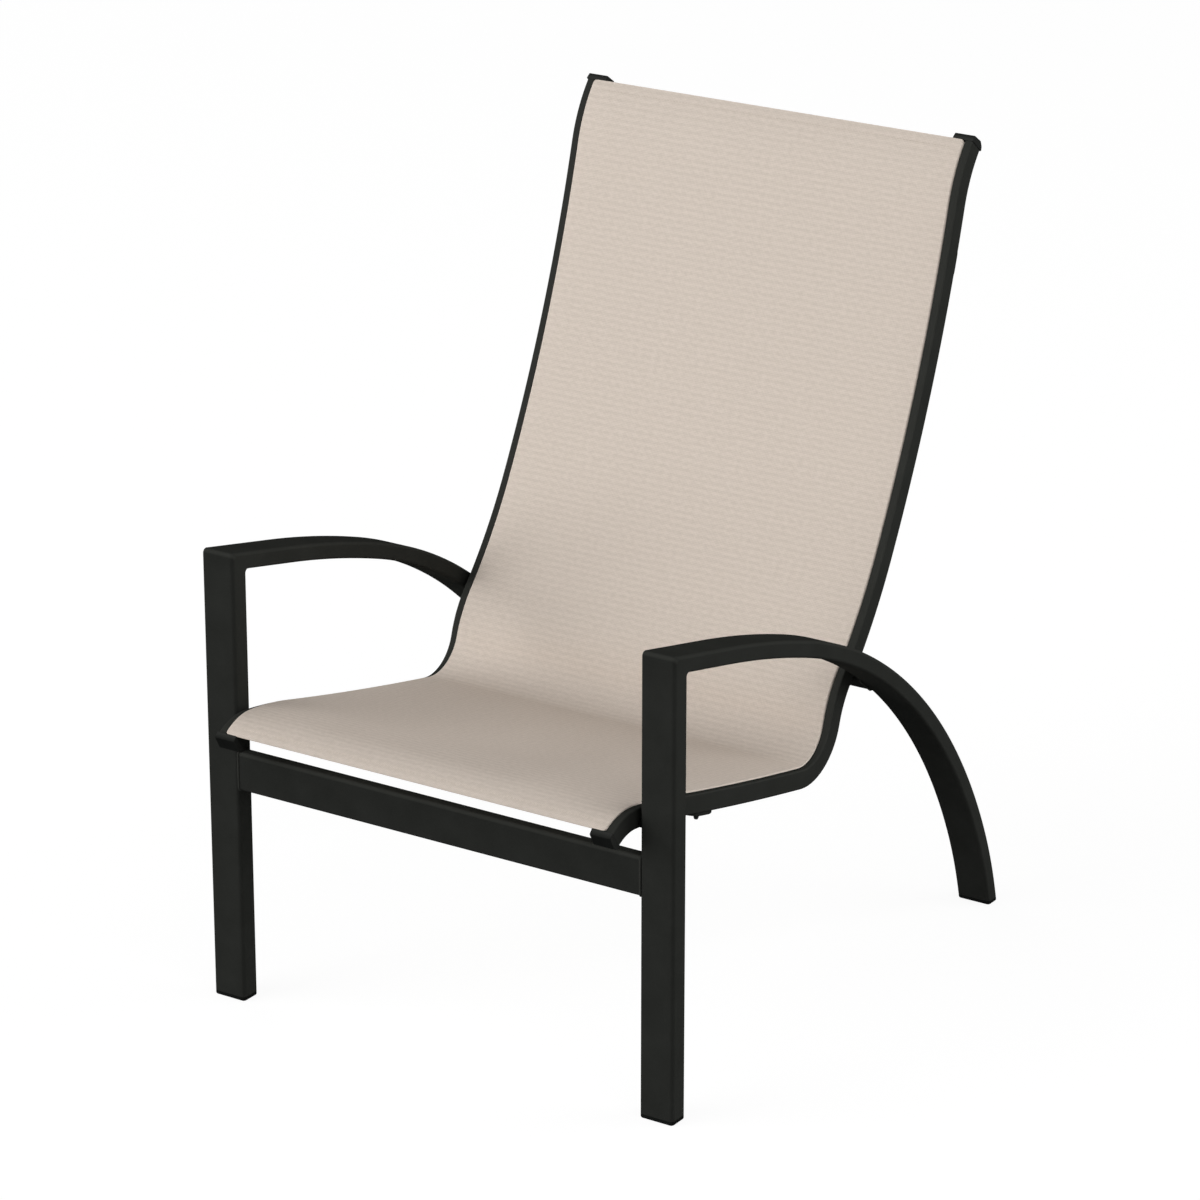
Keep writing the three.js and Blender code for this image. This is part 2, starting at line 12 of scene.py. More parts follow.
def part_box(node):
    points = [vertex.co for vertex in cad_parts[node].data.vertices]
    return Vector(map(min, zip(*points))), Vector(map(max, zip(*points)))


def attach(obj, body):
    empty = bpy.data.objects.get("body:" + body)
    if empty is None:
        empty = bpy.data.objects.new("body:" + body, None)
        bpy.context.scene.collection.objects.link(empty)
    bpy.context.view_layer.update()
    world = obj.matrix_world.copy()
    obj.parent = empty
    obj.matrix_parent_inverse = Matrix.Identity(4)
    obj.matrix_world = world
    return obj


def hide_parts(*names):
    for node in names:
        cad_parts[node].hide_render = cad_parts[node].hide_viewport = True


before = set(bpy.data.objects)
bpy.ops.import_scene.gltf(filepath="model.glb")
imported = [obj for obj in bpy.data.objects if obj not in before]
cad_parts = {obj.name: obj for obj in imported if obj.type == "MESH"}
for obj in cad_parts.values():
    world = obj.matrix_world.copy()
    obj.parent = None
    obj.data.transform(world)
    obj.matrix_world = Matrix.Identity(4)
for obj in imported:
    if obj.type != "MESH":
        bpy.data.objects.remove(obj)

LOG = logging.getLogger("sling_chair")

Mesh, Object = bpy.types.Mesh, bpy.types.Object
Tree, Node, Socket = bpy.types.NodeTree, bpy.types.Node, bpy.types.NodeSocket
# Points of a section, and rows of points round or along a shape
Outline = list[tuple[float, float]]
Rings = list[list[Vector]]
# The share of each colour over the ones below it, as a node or output, and the colour
Layers = Sequence[tuple[Any, str]]

# Sizes are in millimetres all through, and a mesh is turned to metres once, as it is made.
MM = 0.001
BODY = "root"

# Paths are drawn from the front face of the legs, which lies this far in front of the origin.
LEG_FRONT_TO_ORIGIN = 359.43
# Air between pieces that lie on each other
SEAT_GAP = 0.3
# Points as close as this are one point.
SAME_PLACE = 1e-4
# A path with less curvature than this is straight.
STRAIGHT = 1e-12
# Halvings that find a place on a path
HALVINGS = 60

# From the seat's front edge up to this length along the rails, the slots' outer lips lie lower
# by the dip, and the cloth's edges swell out over them. Both come in over the run-in at the
# front and fade out up the back.
SEAT_END = 400.0
SEAT_FADE = 150.0
LIP_DIP = 1.0
LIP_RUN_IN = 80.0

# Facets of each round corner, on tubes and on moulded caps
TUBE_FACETS = 6
CAP_FACETS = 5
# How far from a round corner an extra point keeps the flat side flat when it is shaded
FLAT_SUPPORT = 0.5


class Side(Enum):
    """The sitter's two sides, each with its sign along X."""

    LEFT = 1
    RIGHT = -1

    @property
    def label(self) -> str:
        """The side's name as it stands in the names of pieces."""
        return self.name.lower()


class Slot(Enum):
    """The record's material slots."""

    FRAME = "frame"
    SLING = "sling"
    PLASTIC = "plastic"
    SPLINE = "spline"
    HARDWARE = "hardware"


# --------------------------------------------------------------------------------------
# Paths in the side view


@dataclass(frozen=True)
class Bend:
    """One arc of a path: its length, and the angle in degrees that it turns upwards."""

    length: float
    turn: float = 0.0


@dataclass(frozen=True)
class Station:
    """A place on a path, with its heading and its length along the path."""

    y: float
    z: float
    heading: float
    along: float

    def point(self, x: float, depth: float, forward: float = 0.0) -> Vector:
        """A point set off from the path.

        Args:
            x: Place across the chair.
            depth: Distance to the rear or underside of the path.
            forward: Distance on along the heading.

        Returns:
            The point in the chair's frame, in millimetres.
        """
        sine, cosine = math.sin(self.heading), math.cos(self.heading)
        y = self.y + depth * sine + forward * cosine
        z = self.z - depth * cosine + forward * sine
        return Vector((x, y - LEG_FRONT_TO_ORIGIN, z))

    def on_level(self, x: float, depth: float, level: float) -> Vector:
        """The point at a depth where a straight run along the heading meets a height."""
        start = self.point(x, depth)
        return self.point(x, depth, (level - start.z) / math.sin(self.heading))

    @property
    def forward(self) -> Vector:
        """The direction of the heading."""
        return Vector((0.0, math.cos(self.heading), math.sin(self.heading)))

    @property
    def inward(self) -> Vector:
        """The direction of growing depth."""
        return Vector((0.0, math.sin(self.heading), -math.cos(self.heading)))


class SidePath:
    """A smooth path of arcs in the side view."""

    def __init__(self, y: float, z: float, slope: float, bends: Sequence[Bend]) -> None:
        """Lays the arcs end to end.

        Args:
            y: Start of the path, behind the leg's front face.
            z: Height of the start.
            slope: Heading at the start, in degrees.
            bends: The arcs in order.
        """
        self._arcs: list[tuple[Station, float]] = []
        last = Station(y, z, math.radians(slope), 0.0)
        for bend in bends:
            curvature = math.radians(bend.turn) / bend.length
            self._arcs.append((last, curvature))
            last = self._on_arc(last, curvature, bend.length)
        self.end = last

    @staticmethod
    def _on_arc(start: Station, curvature: float, distance: float) -> Station:
        """The station at a distance along one arc.

        Args:
            start: Where the arc starts.
            curvature: Its turn for each millimetre, in radians.
            distance: Distance along it.

        Returns:
            The station.
        """
        heading = start.heading + curvature * distance
        if abs(curvature) < STRAIGHT:
            y = start.y + distance * math.cos(heading)
            z = start.z + distance * math.sin(heading)
        else:
            y = start.y + (math.sin(heading) - math.sin(start.heading)) / curvature
            z = start.z - (math.cos(heading) - math.cos(start.heading)) / curvature
        return Station(y, z, heading, start.along + distance)

    @property
    def length(self) -> float:
        """The whole length of the path."""
        return self.end.along

    def station(self, along: float) -> Station:
        """The station at a length along the path.

        Args:
            along: Length from the path's start. Past the ends the path runs on straight.

        Returns:
            The station.
        """
        if along >= self.length:
            return self._on_arc(self.end, 0.0, along - self.length)
        if along < 0:
            return self._on_arc(self._arcs[0][0], 0.0, along)
        start, curvature = [arc for arc in self._arcs if arc[0].along <= along][-1]
        return self._on_arc(start, curvature, along - start.along)

    def stations(self, first: float, last: float, step: float) -> list[Station]:
        """Stations from one length to another, evenly spaced at about a step."""
        count = max(1, round((last - first) / step))
        return [self.station(first + (last - first) * i / count) for i in range(count + 1)]

    def station_over(self, y: float, depth: float) -> Station:
        """The station whose point at a depth lies at a place along Y.

        Args:
            y: The place, in the chair's frame.
            depth: Distance to the rear or underside of the path.

        Returns:
            The station.
        """
        low, high = 0.0, self.length
        for _ in range(HALVINGS):
            middle = (low + high) / 2
            if self.station(middle).point(0, depth).y < y:
                low = middle
            else:
                high = middle
        return self.station(high)


ARM_PATH = SidePath(
    0, 578.4, -12.3, [Bend(129), Bend(185, -6.6), Bend(599.5, -47), Bend(113.8, -11.4)]
)
RAIL_PATH = SidePath(
    -45.1,
    370.4,
    33.5,
    [
        Bend(53.3, -38.9), Bend(77, -8.7), Bend(298.2, 2.8), Bend(77.4, 85),
        Bend(63, -25.7), Bend(153, 13.7), Bend(431.5, 13.3), Bend(82.2, -24.6),
    ],
)
# Where each spreader bar crosses the rails, along their path
SPREADER_PLACES = {"seat_spreader_bar": 211.0, "back_spreader_bar": RAIL_PATH.length - 150.0}


# --------------------------------------------------------------------------------------
# Meshes


def rounded_rectangle(width: float, height: float, radius: float) -> Outline:
    """The outline of a rectangle with round corners, round the origin.

    Args:
        width: Size along the first axis.
        height: Size along the second axis.
        radius: Corner radius.

    Returns:
        The points of the outline, anticlockwise.
    """
    points: Outline = []
    for quarter, (sx, sy) in enumerate(((1, 1), (-1, 1), (-1, -1), (1, -1))):
        centre = Vector((sx * (width / 2 - radius), sy * (height / 2 - radius)))
        angles = [math.pi / 2 * (quarter + i / TUBE_FACETS) for i in range(TUBE_FACETS + 1)]
        arc = [centre + radius * Vector((math.cos(a), math.sin(a))) for a in angles]
        lead, tail = (Vector((-math.sin(a), math.cos(a))) for a in (angles[0], angles[-1]))
        ends = (arc[0] - lead * FLAT_SUPPORT, arc[-1] + tail * FLAT_SUPPORT)
        points += [tuple(p) for p in (ends[0], *arc, ends[1])]
    return points


def corner_wear(sides: Sequence[float], corners: Sequence[float]) -> list[float]:
    """How much painted light each point of a rounded rectangle gets, from 0 to 1.

    Args:
        sides: The share on each flat side, from the one where the outline starts.
        corners: The share in the middle of each corner.

    Returns:
        A share for each point of the outline.
    """
    steps = TUBE_FACETS + 2
    shares: list[float] = []
    for quarter, corner in enumerate(corners):
        first, last = sides[quarter], sides[(quarter + 1) % 4]
        for i in range(steps + 1):
            flat = first + (last - first) * i / steps
            bulge = (corner - (first + last) / 2) * math.sin(math.pi * i / steps)
            shares.append(flat + bulge)
    return shares


def sides_at(corners: Sequence[Vector], i: int) -> tuple[Vector, Vector]:
    """The directions from one corner of a polygon to the corners before and after it."""
    others = corners[i - 1], corners[(i + 1) % len(corners)]
    return tuple((other - corners[i]).normalized() for other in others)


def rounded_polygon(corners: Sequence[Vector], radii: Sequence[float]) -> list[Vector]:
    """The outline of a convex polygon with round corners.

    Args:
        corners: The sharp corners, in either order.
        radii: The radius of each corner.

    Returns:
        The points of the outline, in the order of the corners.
    """
    points: list[Vector] = []
    for i, (corner, radius) in enumerate(zip(corners, radii)):
        back, on = sides_at(corners, i)
        half = back.angle(on) / 2
        centre = corner + (back + on).normalized() * radius / math.sin(half)
        first = corner + back * radius / math.tan(half) - centre
        last = corner + on * radius / math.tan(half) - centre
        points += [centre + first.slerp(last, s / CAP_FACETS) for s in range(CAP_FACETS + 1)]
    return points


def inset_polygon(corners: Sequence[Vector], inset: float) -> list[Vector]:
    """Moves all sides of a convex polygon inwards.

    Args:
        corners: The polygon's corners.
        inset: How far each side moves.

    Returns:
        The new corners.
    """
    middle = sum(corners, Vector((0, 0))) / len(corners)
    moved = []
    for i, corner in enumerate(corners):
        back, on = sides_at(corners, i)
        inwards = (back + on).normalized()
        if inwards.dot(middle - corner) < 0:
            inwards.negate()
        moved.append(corner + inwards * inset / math.sin(back.angle(on) / 2))
    return moved


def turned_rings(profile: Outline, count: int) -> Rings:
    """Rings round the Z axis, from the radius and height of each."""
    angles = [math.tau * i / count for i in range(count)]
    return [[Vector((r * math.cos(a), r * math.sin(a), h)) for a in angles] for r, h in profile]


def mesh_from(name: str, points: Iterable[Vector], faces: Sequence[Sequence[int]]) -> Mesh:
    """A mesh in metres, with its faces turned outwards.

    Args:
        name: Name of the mesh.
        points: Corners in millimetres.
        faces: Corner numbers of each face.

    Returns:
        The mesh.
    """
    mesh = bpy.data.meshes.new(name)
    mesh.from_pydata([Vector(p) * MM for p in points], [], faces)
    work = bmesh.new()
    work.from_mesh(mesh)
    bmesh.ops.remove_doubles(work, verts=work.verts, dist=SAME_PLACE * MM)
    bmesh.ops.recalc_face_normals(work, faces=work.faces)
    work.to_mesh(mesh)
    work.free()
    return mesh


def loft(name: str, rings: Sequence[Sequence[Vector]]) -> Mesh:
    """A closed skin over rings, with a face on the first and the last.

    Args:
        name: Name of the mesh.
        rings: Rings of points in millimetres, all of the same count.

    Returns:
        The mesh.
    """
    count = len(rings[0])
    faces: list[list[int]] = []
    for row in range(len(rings) - 1):
        a, b = row * count, (row + 1) * count
        for i in range(count):
            j = (i + 1) % count
            faces.append([a + i, a + j, b + j, b + i])
    faces.append(list(range(count))[::-1])
    faces.append([(len(rings) - 1) * count + i for i in range(count)])
    return mesh_from(name, [p for ring in rings for p in ring], faces)


def polyline(name: str, lines: Sequence[Sequence[Vector]], closed: bool) -> Mesh:
    """A mesh of bare edges along lines.

    Args:
        name: Name of the mesh.
        lines: Lines of points in millimetres.
        closed: Whether each line closes on itself.

    Returns:
        The mesh.
    """
    points: list[Vector] = []
    edges: list[tuple[int, int]] = []
    for line in lines:
        first = len(points)
        points += [Vector(p) * MM for p in line]
        edges += [(first + i, first + i + 1) for i in range(len(line) - 1)]
        if closed:
            edges.append((len(points) - 1, first))
    mesh = bpy.data.meshes.new(name)
    mesh.from_pydata(points, edges, [])
    return mesh


def smoothed(mesh: Mesh, sharp_above: float = 35.0) -> Mesh:
    """Shades a mesh smooth, but for its sharp edges.

    Args:
        mesh: The mesh.
        sharp_above: Angle in degrees above which an edge stays sharp.

    Returns:
        The same mesh.
    """
    for polygon in mesh.polygons:
        polygon.use_smooth = True
    mesh.set_sharp_from_angle(angle=math.radians(sharp_above))
    return mesh


def mark_worn(mesh: Mesh, shares: Sequence[float]) -> Mesh:
    """Notes at each point of a mesh how much painted highlight, a lighter colour that stands in
    for light, it gets.

    Args:
        mesh: The mesh.
        shares: A share for each point, from 0 to 1.

    Returns:
        The same mesh.
    """
    worn = mesh.attributes.new("worn", "FLOAT", "POINT")
    for point, share in zip(worn.data, shares):
        point.value = share
    return mesh


def map_weave(mesh: Mesh, along: Callable[[bpy.types.MeshVertex], float]) -> None:
    """Maps the weave by places across the chair and along the cloth, in metres.

    Args:
        mesh: The cloth's mesh.
        along: Gives a point's place along the cloth.
    """
    weave = mesh.uv_layers.new(name="weave")
    for loop in mesh.loops:
        vertex = mesh.vertices[loop.vertex_index]
        weave.data[loop.index].uv = (vertex.co.x, along(vertex))


def new_object(name: str, data: Any) -> Object:
    """A new object in the scene, at the origin.

    Args:
        name: Name of the object.
        data: Its mesh, light or camera.

    Returns:
        The object.
    """
    made = bpy.data.objects.new(name, data)
    bpy.context.scene.collection.objects.link(made)
    return made


def middle_of(node: str) -> Vector:
    """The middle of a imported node's box, in millimetres."""
    low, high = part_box(node)
    return (low + high) / 2 / MM


# --------------------------------------------------------------------------------------
# Finishes


def linear(hex_colour: str) -> tuple[float, float, float, float]:
    """Turns an sRGB colour to a linear one.

    Args:
        hex_colour: The colour, such as "#8090a0".

    Returns:
        Linear red, green, blue and alpha.
    """
    channels = [int(hex_colour[i : i + 2], 16) / 255 for i in (1, 3, 5)]
    curve = [c / 12.92 if c <= 0.04045 else ((c + 0.055) / 1.055) ** 2.4 for c in channels]
    return (*curve, 1.0)


def emptied_tree(owner: Any) -> Tree:
    """Switches nodes on and empties the tree.

    Args:
        owner: A material or a world.

    Returns:
        Its node tree.
    """
    owner.use_nodes = True
    owner.node_tree.nodes.clear()
    return owner.node_tree


def add_node(tree: Tree, kind: str, links: dict[Any, Any] | None = None, **settings: Any) -> Node:
    """Adds one node to a tree.

    Args:
        tree: The tree.
        kind: The node's type.
        links: For each input, by name or number, a value, the output that feeds it, or a node
            whose first output feeds it.
        settings: The node's own settings.

    Returns:
        The node.
    """
    node = tree.nodes.new(kind)
    for key, value in settings.items():
        setattr(node, key, value)
    for key, value in (links or {}).items():
        source = value.outputs[0] if isinstance(value, Node) else value
        if isinstance(source, Socket):
            tree.links.new(source, node.inputs[key])
        else:
            node.inputs[key].default_value = source
    return node


# Numbers of the colour sockets on a Mix node
MIX_FACTOR, MIX_FIRST, MIX_SECOND, MIX_RESULT = 0, 6, 7, 2
# Nearly all values of a noise lie between these.
NOISE_SPAN = {"From Min": 0.3, "From Max": 0.7}


@dataclass(frozen=True)
class Finish:
    """A finish with a procedural material, made at its first use."""

    name: str
    colour: str
    roughness: float
    specular: float = 0.5

    def material(self) -> bpy.types.Material:
        """Makes the finish's material, or finds it where it is made already.

        Returns:
            The material.
        """
        material = bpy.data.materials.get(self.name)
        if material is None:
            material = bpy.data.materials.new(self.name)
            material.diffuse_color = linear(self.colour)
            tree = emptied_tree(material)
            sockets = {
                "Base Color": linear(self.colour),
                "Roughness": self.roughness,
                "Specular IOR Level": self.specular,
            }
            shader = add_node(tree, "ShaderNodeBsdfPrincipled", sockets)
            add_node(tree, "ShaderNodeOutputMaterial", {"Surface": shader})
            self.dress(tree, shader)
        return material

    def dress(self, tree: Tree, shader: Node) -> None:
        """Links the finish's own patterns to the shader.

        Args:
            tree: The material's tree.
            shader: Its shader.
        """
        raise NotImplementedError

    def paint(self, tree: Tree, shader: Node, first: str, layers: Layers, bump: Node) -> None:
        """Lays colours over each other and links them and the bump to the shader.

        Args:
            tree: The material's tree.
            shader: Its shader.
            first: The lowest colour.
            layers: The further colours with their shares.
            bump: The bump.
        """
        shown: Any = linear(first)
        for share, colour in layers:
            sockets = {MIX_FACTOR: share, MIX_FIRST: shown, MIX_SECOND: linear(colour)}
            layer = add_node(tree, "ShaderNodeMix", sockets, data_type="RGBA")
            shown = layer.outputs[MIX_RESULT]
        tree.links.new(shown, shader.inputs["Base Color"])
        tree.links.new(bump.outputs["Normal"], shader.inputs["Normal"])


@dataclass(frozen=True)
class GrainedFinish(Finish):
    """A solid colour with a fine grain over a slow drift in tone and gloss.

    Where a point attribute asks for it, a lighter colour is painted on unevenly as painted
    highlight.
    """

    second_colour: str = "#000000"
    grain_mm: float = 1.0
    grain_height_mm: float = 0.02
    drift_mm: float = 40.0
    # Colour of the painted highlight on lit tops and edges; none where empty
    worn_colour: str = ""
    gloss_drift: float = 0.05
    # Least share of the painted highlight in its uneven patches
    least_rubbed: float = 0.85

    def dress(self, tree: Tree, shader: Node) -> None:
        """Puts grain in the bump and the tone, and a slow drift in tone and gloss.

        Args:
            tree: The material's tree.
            shader: Its shader.
        """
        place = add_node(tree, "ShaderNodeTexCoord").outputs["Object"]
        grain, drift = (
            add_node(
                tree,
                "ShaderNodeTexNoise",
                {"Vector": place, "Scale": 1 / (size * MM), "Detail": detail},
            )
            for size, detail in ((self.grain_mm, 3.0), (self.drift_mm, 4.0))
        )
        blend = add_node(tree, "ShaderNodeMath", {0: grain, 1: drift}, operation="ADD")
        # The sum of two noises lies round 1.
        span = {"Value": blend, "From Min": 0.7, "From Max": 1.3}
        layers = [(add_node(tree, "ShaderNodeMapRange", span), self.second_colour)]
        span = {"Value": drift, **NOISE_SPAN}
        # Painted highlight: a lighter colour laid where the mesh asks for it, in uneven patches.
        if self.worn_colour:
            patches = add_node(tree, "ShaderNodeMapRange", {**span, "To Min": self.least_rubbed})
            worn = add_node(tree, "ShaderNodeAttribute", attribute_name="worn").outputs["Fac"]
            share = add_node(tree, "ShaderNodeMath", {0: worn, 1: patches}, operation="MULTIPLY")
            layers.append((share, self.worn_colour))
        span["To Min"] = self.roughness - self.gloss_drift
        span["To Max"] = self.roughness + self.gloss_drift
        gloss = add_node(tree, "ShaderNodeMapRange", span)
        tree.links.new(gloss.outputs["Result"], shader.inputs["Roughness"])
        height = {"Height": grain, "Distance": self.grain_height_mm * MM}
        bump = add_node(tree, "ShaderNodeBump", height)
        self.paint(tree, shader, self.colour, layers, bump)


@dataclass(frozen=True)
class CoatedMesh(Finish):
    """Vinyl-coated polyester mesh, woven in a plain weave with fuller wefts at a steady pitch.

    The coated yarns give a matt cloth with fine crosswise ribs, a faint mottling where yarns lie
    fuller or thinner, and small shaded holes between them. A paler painted highlight, where a
    point attribute asks for it, stands for light caught along the fold over the lips. The cloth
    reads a map with X across the chair and Y along the cloth, both in metres.
    """

    shade_colour: str = "#ccc0b4"
    light_colour: str = "#dfd3c8"
    # Colour of the painted highlight along the cloth's rolled edge
    fold_colour: str = "#f0e5d9"
    rib_pitch_mm: float = 8.61
    # The real yarns lie about 1 mm apart, too fine to show, so they are drawn twice as coarse.
    yarn_pitch_mm: float = 2.15
    slub_mm: float = 7.0
    yarn_height_mm: float = 0.25
    bump_strength: float = 0.5
    weave_share: float = 0.31
    rib_share: float = 0.13
    slub_share: float = 0.56

    def dress(self, tree: Tree, shader: Node) -> None:
        """Puts yarns, ribs and slubs in the colour, and yarns in the bump.

        Args:
            tree: The material's tree.
            shader: Its shader.
        """
        place = add_node(tree, "ShaderNodeUVMap", uv_map="weave")
        # A Wave Texture's period is 2 pi / 20 divided by its scale.
        period = math.tau / 20
        yarns = {"Vector": place, "Scale": period / (self.yarn_pitch_mm * MM)}
        # The ribs waver a little.
        uneven = {"Distortion": 0.6, "Detail": 2.0, "Detail Scale": 0.4}
        rows = {"Vector": place, "Scale": period / (self.rib_pitch_mm * MM), **uneven}
        warp, weft, ribs = (
            add_node(tree, "ShaderNodeTexWave", sockets, bands_direction=way).outputs["Fac"]
            for sockets, way in ((yarns, "X"), (yarns, "Y"), (rows, "Y"))
        )
        squares = {"Vector": place, "Scale": 1 / (self.yarn_pitch_mm * MM)}
        over = add_node(tree, "ShaderNodeTexChecker", squares).outputs["Fac"]
        weave = add_node(tree, "ShaderNodeMix", {0: over, 2: warp, 3: weft})
        # Slubs lie twice as long across the cloth as along it.
        long = add_node(tree, "ShaderNodeMapping", {"Vector": place, "Scale": (1.0, 2.0, 1.0)})
        sockets = {"Vector": long, "Scale": 1 / (self.slub_mm * MM), "Detail": 3.0}
        slubs = add_node(tree, "ShaderNodeTexNoise", sockets)
        total: Any = 0.0
        shares = ((weave, self.weave_share), (ribs, self.rib_share), (slubs, self.slub_share))
        for value, share in shares:
            sockets = {0: value, 1: share, 2: total}
            total = add_node(tree, "ShaderNodeMath", sockets, operation="MULTIPLY_ADD")
        tone = add_node(tree, "ShaderNodeMapRange", {"Value": total, **NOISE_SPAN})
        # Painted highlight: a paler colour along the fold, where light catches the rolled edge.
        fold_highlight = add_node(tree, "ShaderNodeAttribute", attribute_name="worn").outputs["Fac"]
        height = {"Height": weave, "Distance": self.yarn_height_mm * MM}
        bump = add_node(tree, "ShaderNodeBump", {**height, "Strength": self.bump_strength})
        layers = ((tone, self.light_colour), (fold_highlight, self.fold_colour))
        self.paint(tree, shader, self.shade_colour, layers, bump)


# Charcoal powder coat, sprayed dry and baked on aluminium tube: the melted powder leaves a fine
# orange peel, so it is matt. Its tops, sides and round edges get a lighter painted highlight.
POWDER_COAT = GrainedFinish(
    "charcoal_powder_coat", "#242523", 0.6, 0.0, "#2b2c2a", 0.8, 0.012, 45.0, "#383936"
)
# Nylon moulded in a spark-eroded tool: darker than the coat, with a faint even grain. Its caps
# get a grey painted highlight on their front band and flanks.
MOULDED_NYLON = GrainedFinish(
    "black_moulded_nylon", "#151615", 0.5, 0.0, "#1a1b1a", 0.5, 0.01, 20.0, "#333432"
)
# Steel screws with a black zinc layer: thin and slightly uneven, with more gloss than the coat.
BLACK_ZINC = GrainedFinish("black_zinc_steel", "#131414", 0.36, 0.06, "#1c1d1d", 1.2, 0.006, 8.0)
# Extruded vinyl rod: milky, smooth and softly glossy.
VINYL_ROD = GrainedFinish("milky_vinyl_rod", "#d6d3cc", 0.45, 0.4, "#e0ddd7", 2.0, 0.01, 30.0)
# Bonded polyester thread in the cloth's own colour: a dull twisted yarn.
SEWING_THREAD = GrainedFinish(
    "bonded_polyester_thread", "#c3b7aa", 0.7, 0.2, "#d6cabd", 0.6, 0.05, 9.0
)
SLING_CLOTH = CoatedMesh("coated_polyester_mesh", "#d6cabe", 0.82, 0.15)


def add_piece(
    name: str, mesh: Mesh, finish: Finish, slot: Slot, replaces: Sequence[str] = ()
) -> Object:
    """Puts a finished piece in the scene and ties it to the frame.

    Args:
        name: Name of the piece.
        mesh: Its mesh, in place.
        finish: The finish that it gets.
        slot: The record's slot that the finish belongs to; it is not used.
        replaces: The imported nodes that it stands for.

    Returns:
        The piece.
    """
    piece = new_object(name, mesh)
    mesh.materials.clear()
    mesh.materials.append(finish.material())
    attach(piece, BODY)
    if replaces:
        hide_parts(*replaces)
    LOG.info("%s: %d faces, %s", name, len(mesh.polygons), finish.name)
    return piece


# --------------------------------------------------------------------------------------
# What repeats or follows a rule


class PatternTree:
    """A Geometry Nodes tree with named sizes, applied to a mesh and turned to a plain mesh."""

    def __init__(self, name: str) -> None:
        """Makes the tree with its geometry in and out.

        Args:
            name: Name of the tree.
        """
        self.nodes = bpy.data.node_groups.new(name, "GeometryNodeTree")
        for way in ("INPUT", "OUTPUT"):
            self._socket("Geometry", way, "Geometry")
        self._start = add_node(self.nodes, "NodeGroupInput")
        self._values: dict[str, Any] = {}

    def _socket(self, name: str, way: str, kind: str) -> Any:
        """Adds a socket to the tree's own interface."""
        kind = f"NodeSocket{kind}"
        return self.nodes.interface.new_socket(name, in_out=way, socket_type=kind)

    @property
    def geometry(self) -> Socket:
        """The mesh that the tree is applied to."""
        return self._start.outputs["Geometry"]

    def size(self, name: str, value: Any, kind: str = "Float") -> Socket:
        """Adds a named input.

        Args:
            name: Name of the input.
            value: Its value.
            kind: Its kind, as sockets call it.

        Returns:
            The socket that it feeds.
        """
        identifier = self._socket(name, "INPUT", kind).identifier
        self._values[identifier] = value
        return next(s for s in self._start.outputs if s.identifier == identifier)

    def spaced(self, pitch: Socket) -> Node:
        """Spaces points along the edges of the mesh.

        Args:
            pitch: The socket with their distance.

        Returns:
            The node with the points.
        """
        line = add_node(self.nodes, "GeometryNodeMeshToCurve", {"Mesh": self.geometry})
        sockets = {"Curve": line, "Length": pitch}
        return add_node(self.nodes, "GeometryNodeResampleCurve", sockets, mode="LENGTH")

    def ball(self, segments: int, rings: int, radius: Any) -> Node:
        """A smooth ball to repeat, with few faces.

        Args:
            segments: Faces round it.
            rings: Faces from pole to pole.
            radius: Its radius in metres, or the socket with it.

        Returns:
            The node with the ball.
        """
        sockets = {"Segments": segments, "Rings": rings, "Radius": radius}
        ball = add_node(self.nodes, "GeometryNodeMeshUVSphere", sockets)
        return add_node(self.nodes, "GeometryNodeSetShadeSmooth", {"Geometry": ball})

    def finish(self, geometry: Node, finish: Finish) -> None:
        """Ends the tree: instances made real, with the finish's material.

        Args:
            geometry: The node with the shapes.
            finish: Their finish.
        """
        real = add_node(self.nodes, "GeometryNodeRealizeInstances", {"Geometry": geometry})
        sockets = {"Geometry": real, "Material": finish.material()}
        dressed = add_node(self.nodes, "GeometryNodeSetMaterial", sockets)
        add_node(self.nodes, "NodeGroupOutput", {"Geometry": dressed})

    def applied(self, mesh: Mesh) -> Mesh:
        """The tree's result on a mesh.

        Args:
            mesh: The mesh that the pattern follows, in metres. It is used up.

        Returns:
            A plain mesh.
        """
        carrier = new_object(mesh.name + "_carrier", mesh)
        modifier = carrier.modifiers.new(self.nodes.name, "NODES")
        modifier.node_group = self.nodes
        for identifier, value in self._values.items():
            modifier[identifier] = value
        evaluated = carrier.evaluated_get(bpy.context.evaluated_depsgraph_get())
        result = bpy.data.meshes.new_from_object(evaluated)
        carrier.modifiers.clear()
        bpy.data.objects.remove(carrier)
        bpy.data.meshes.remove(mesh)
        return result


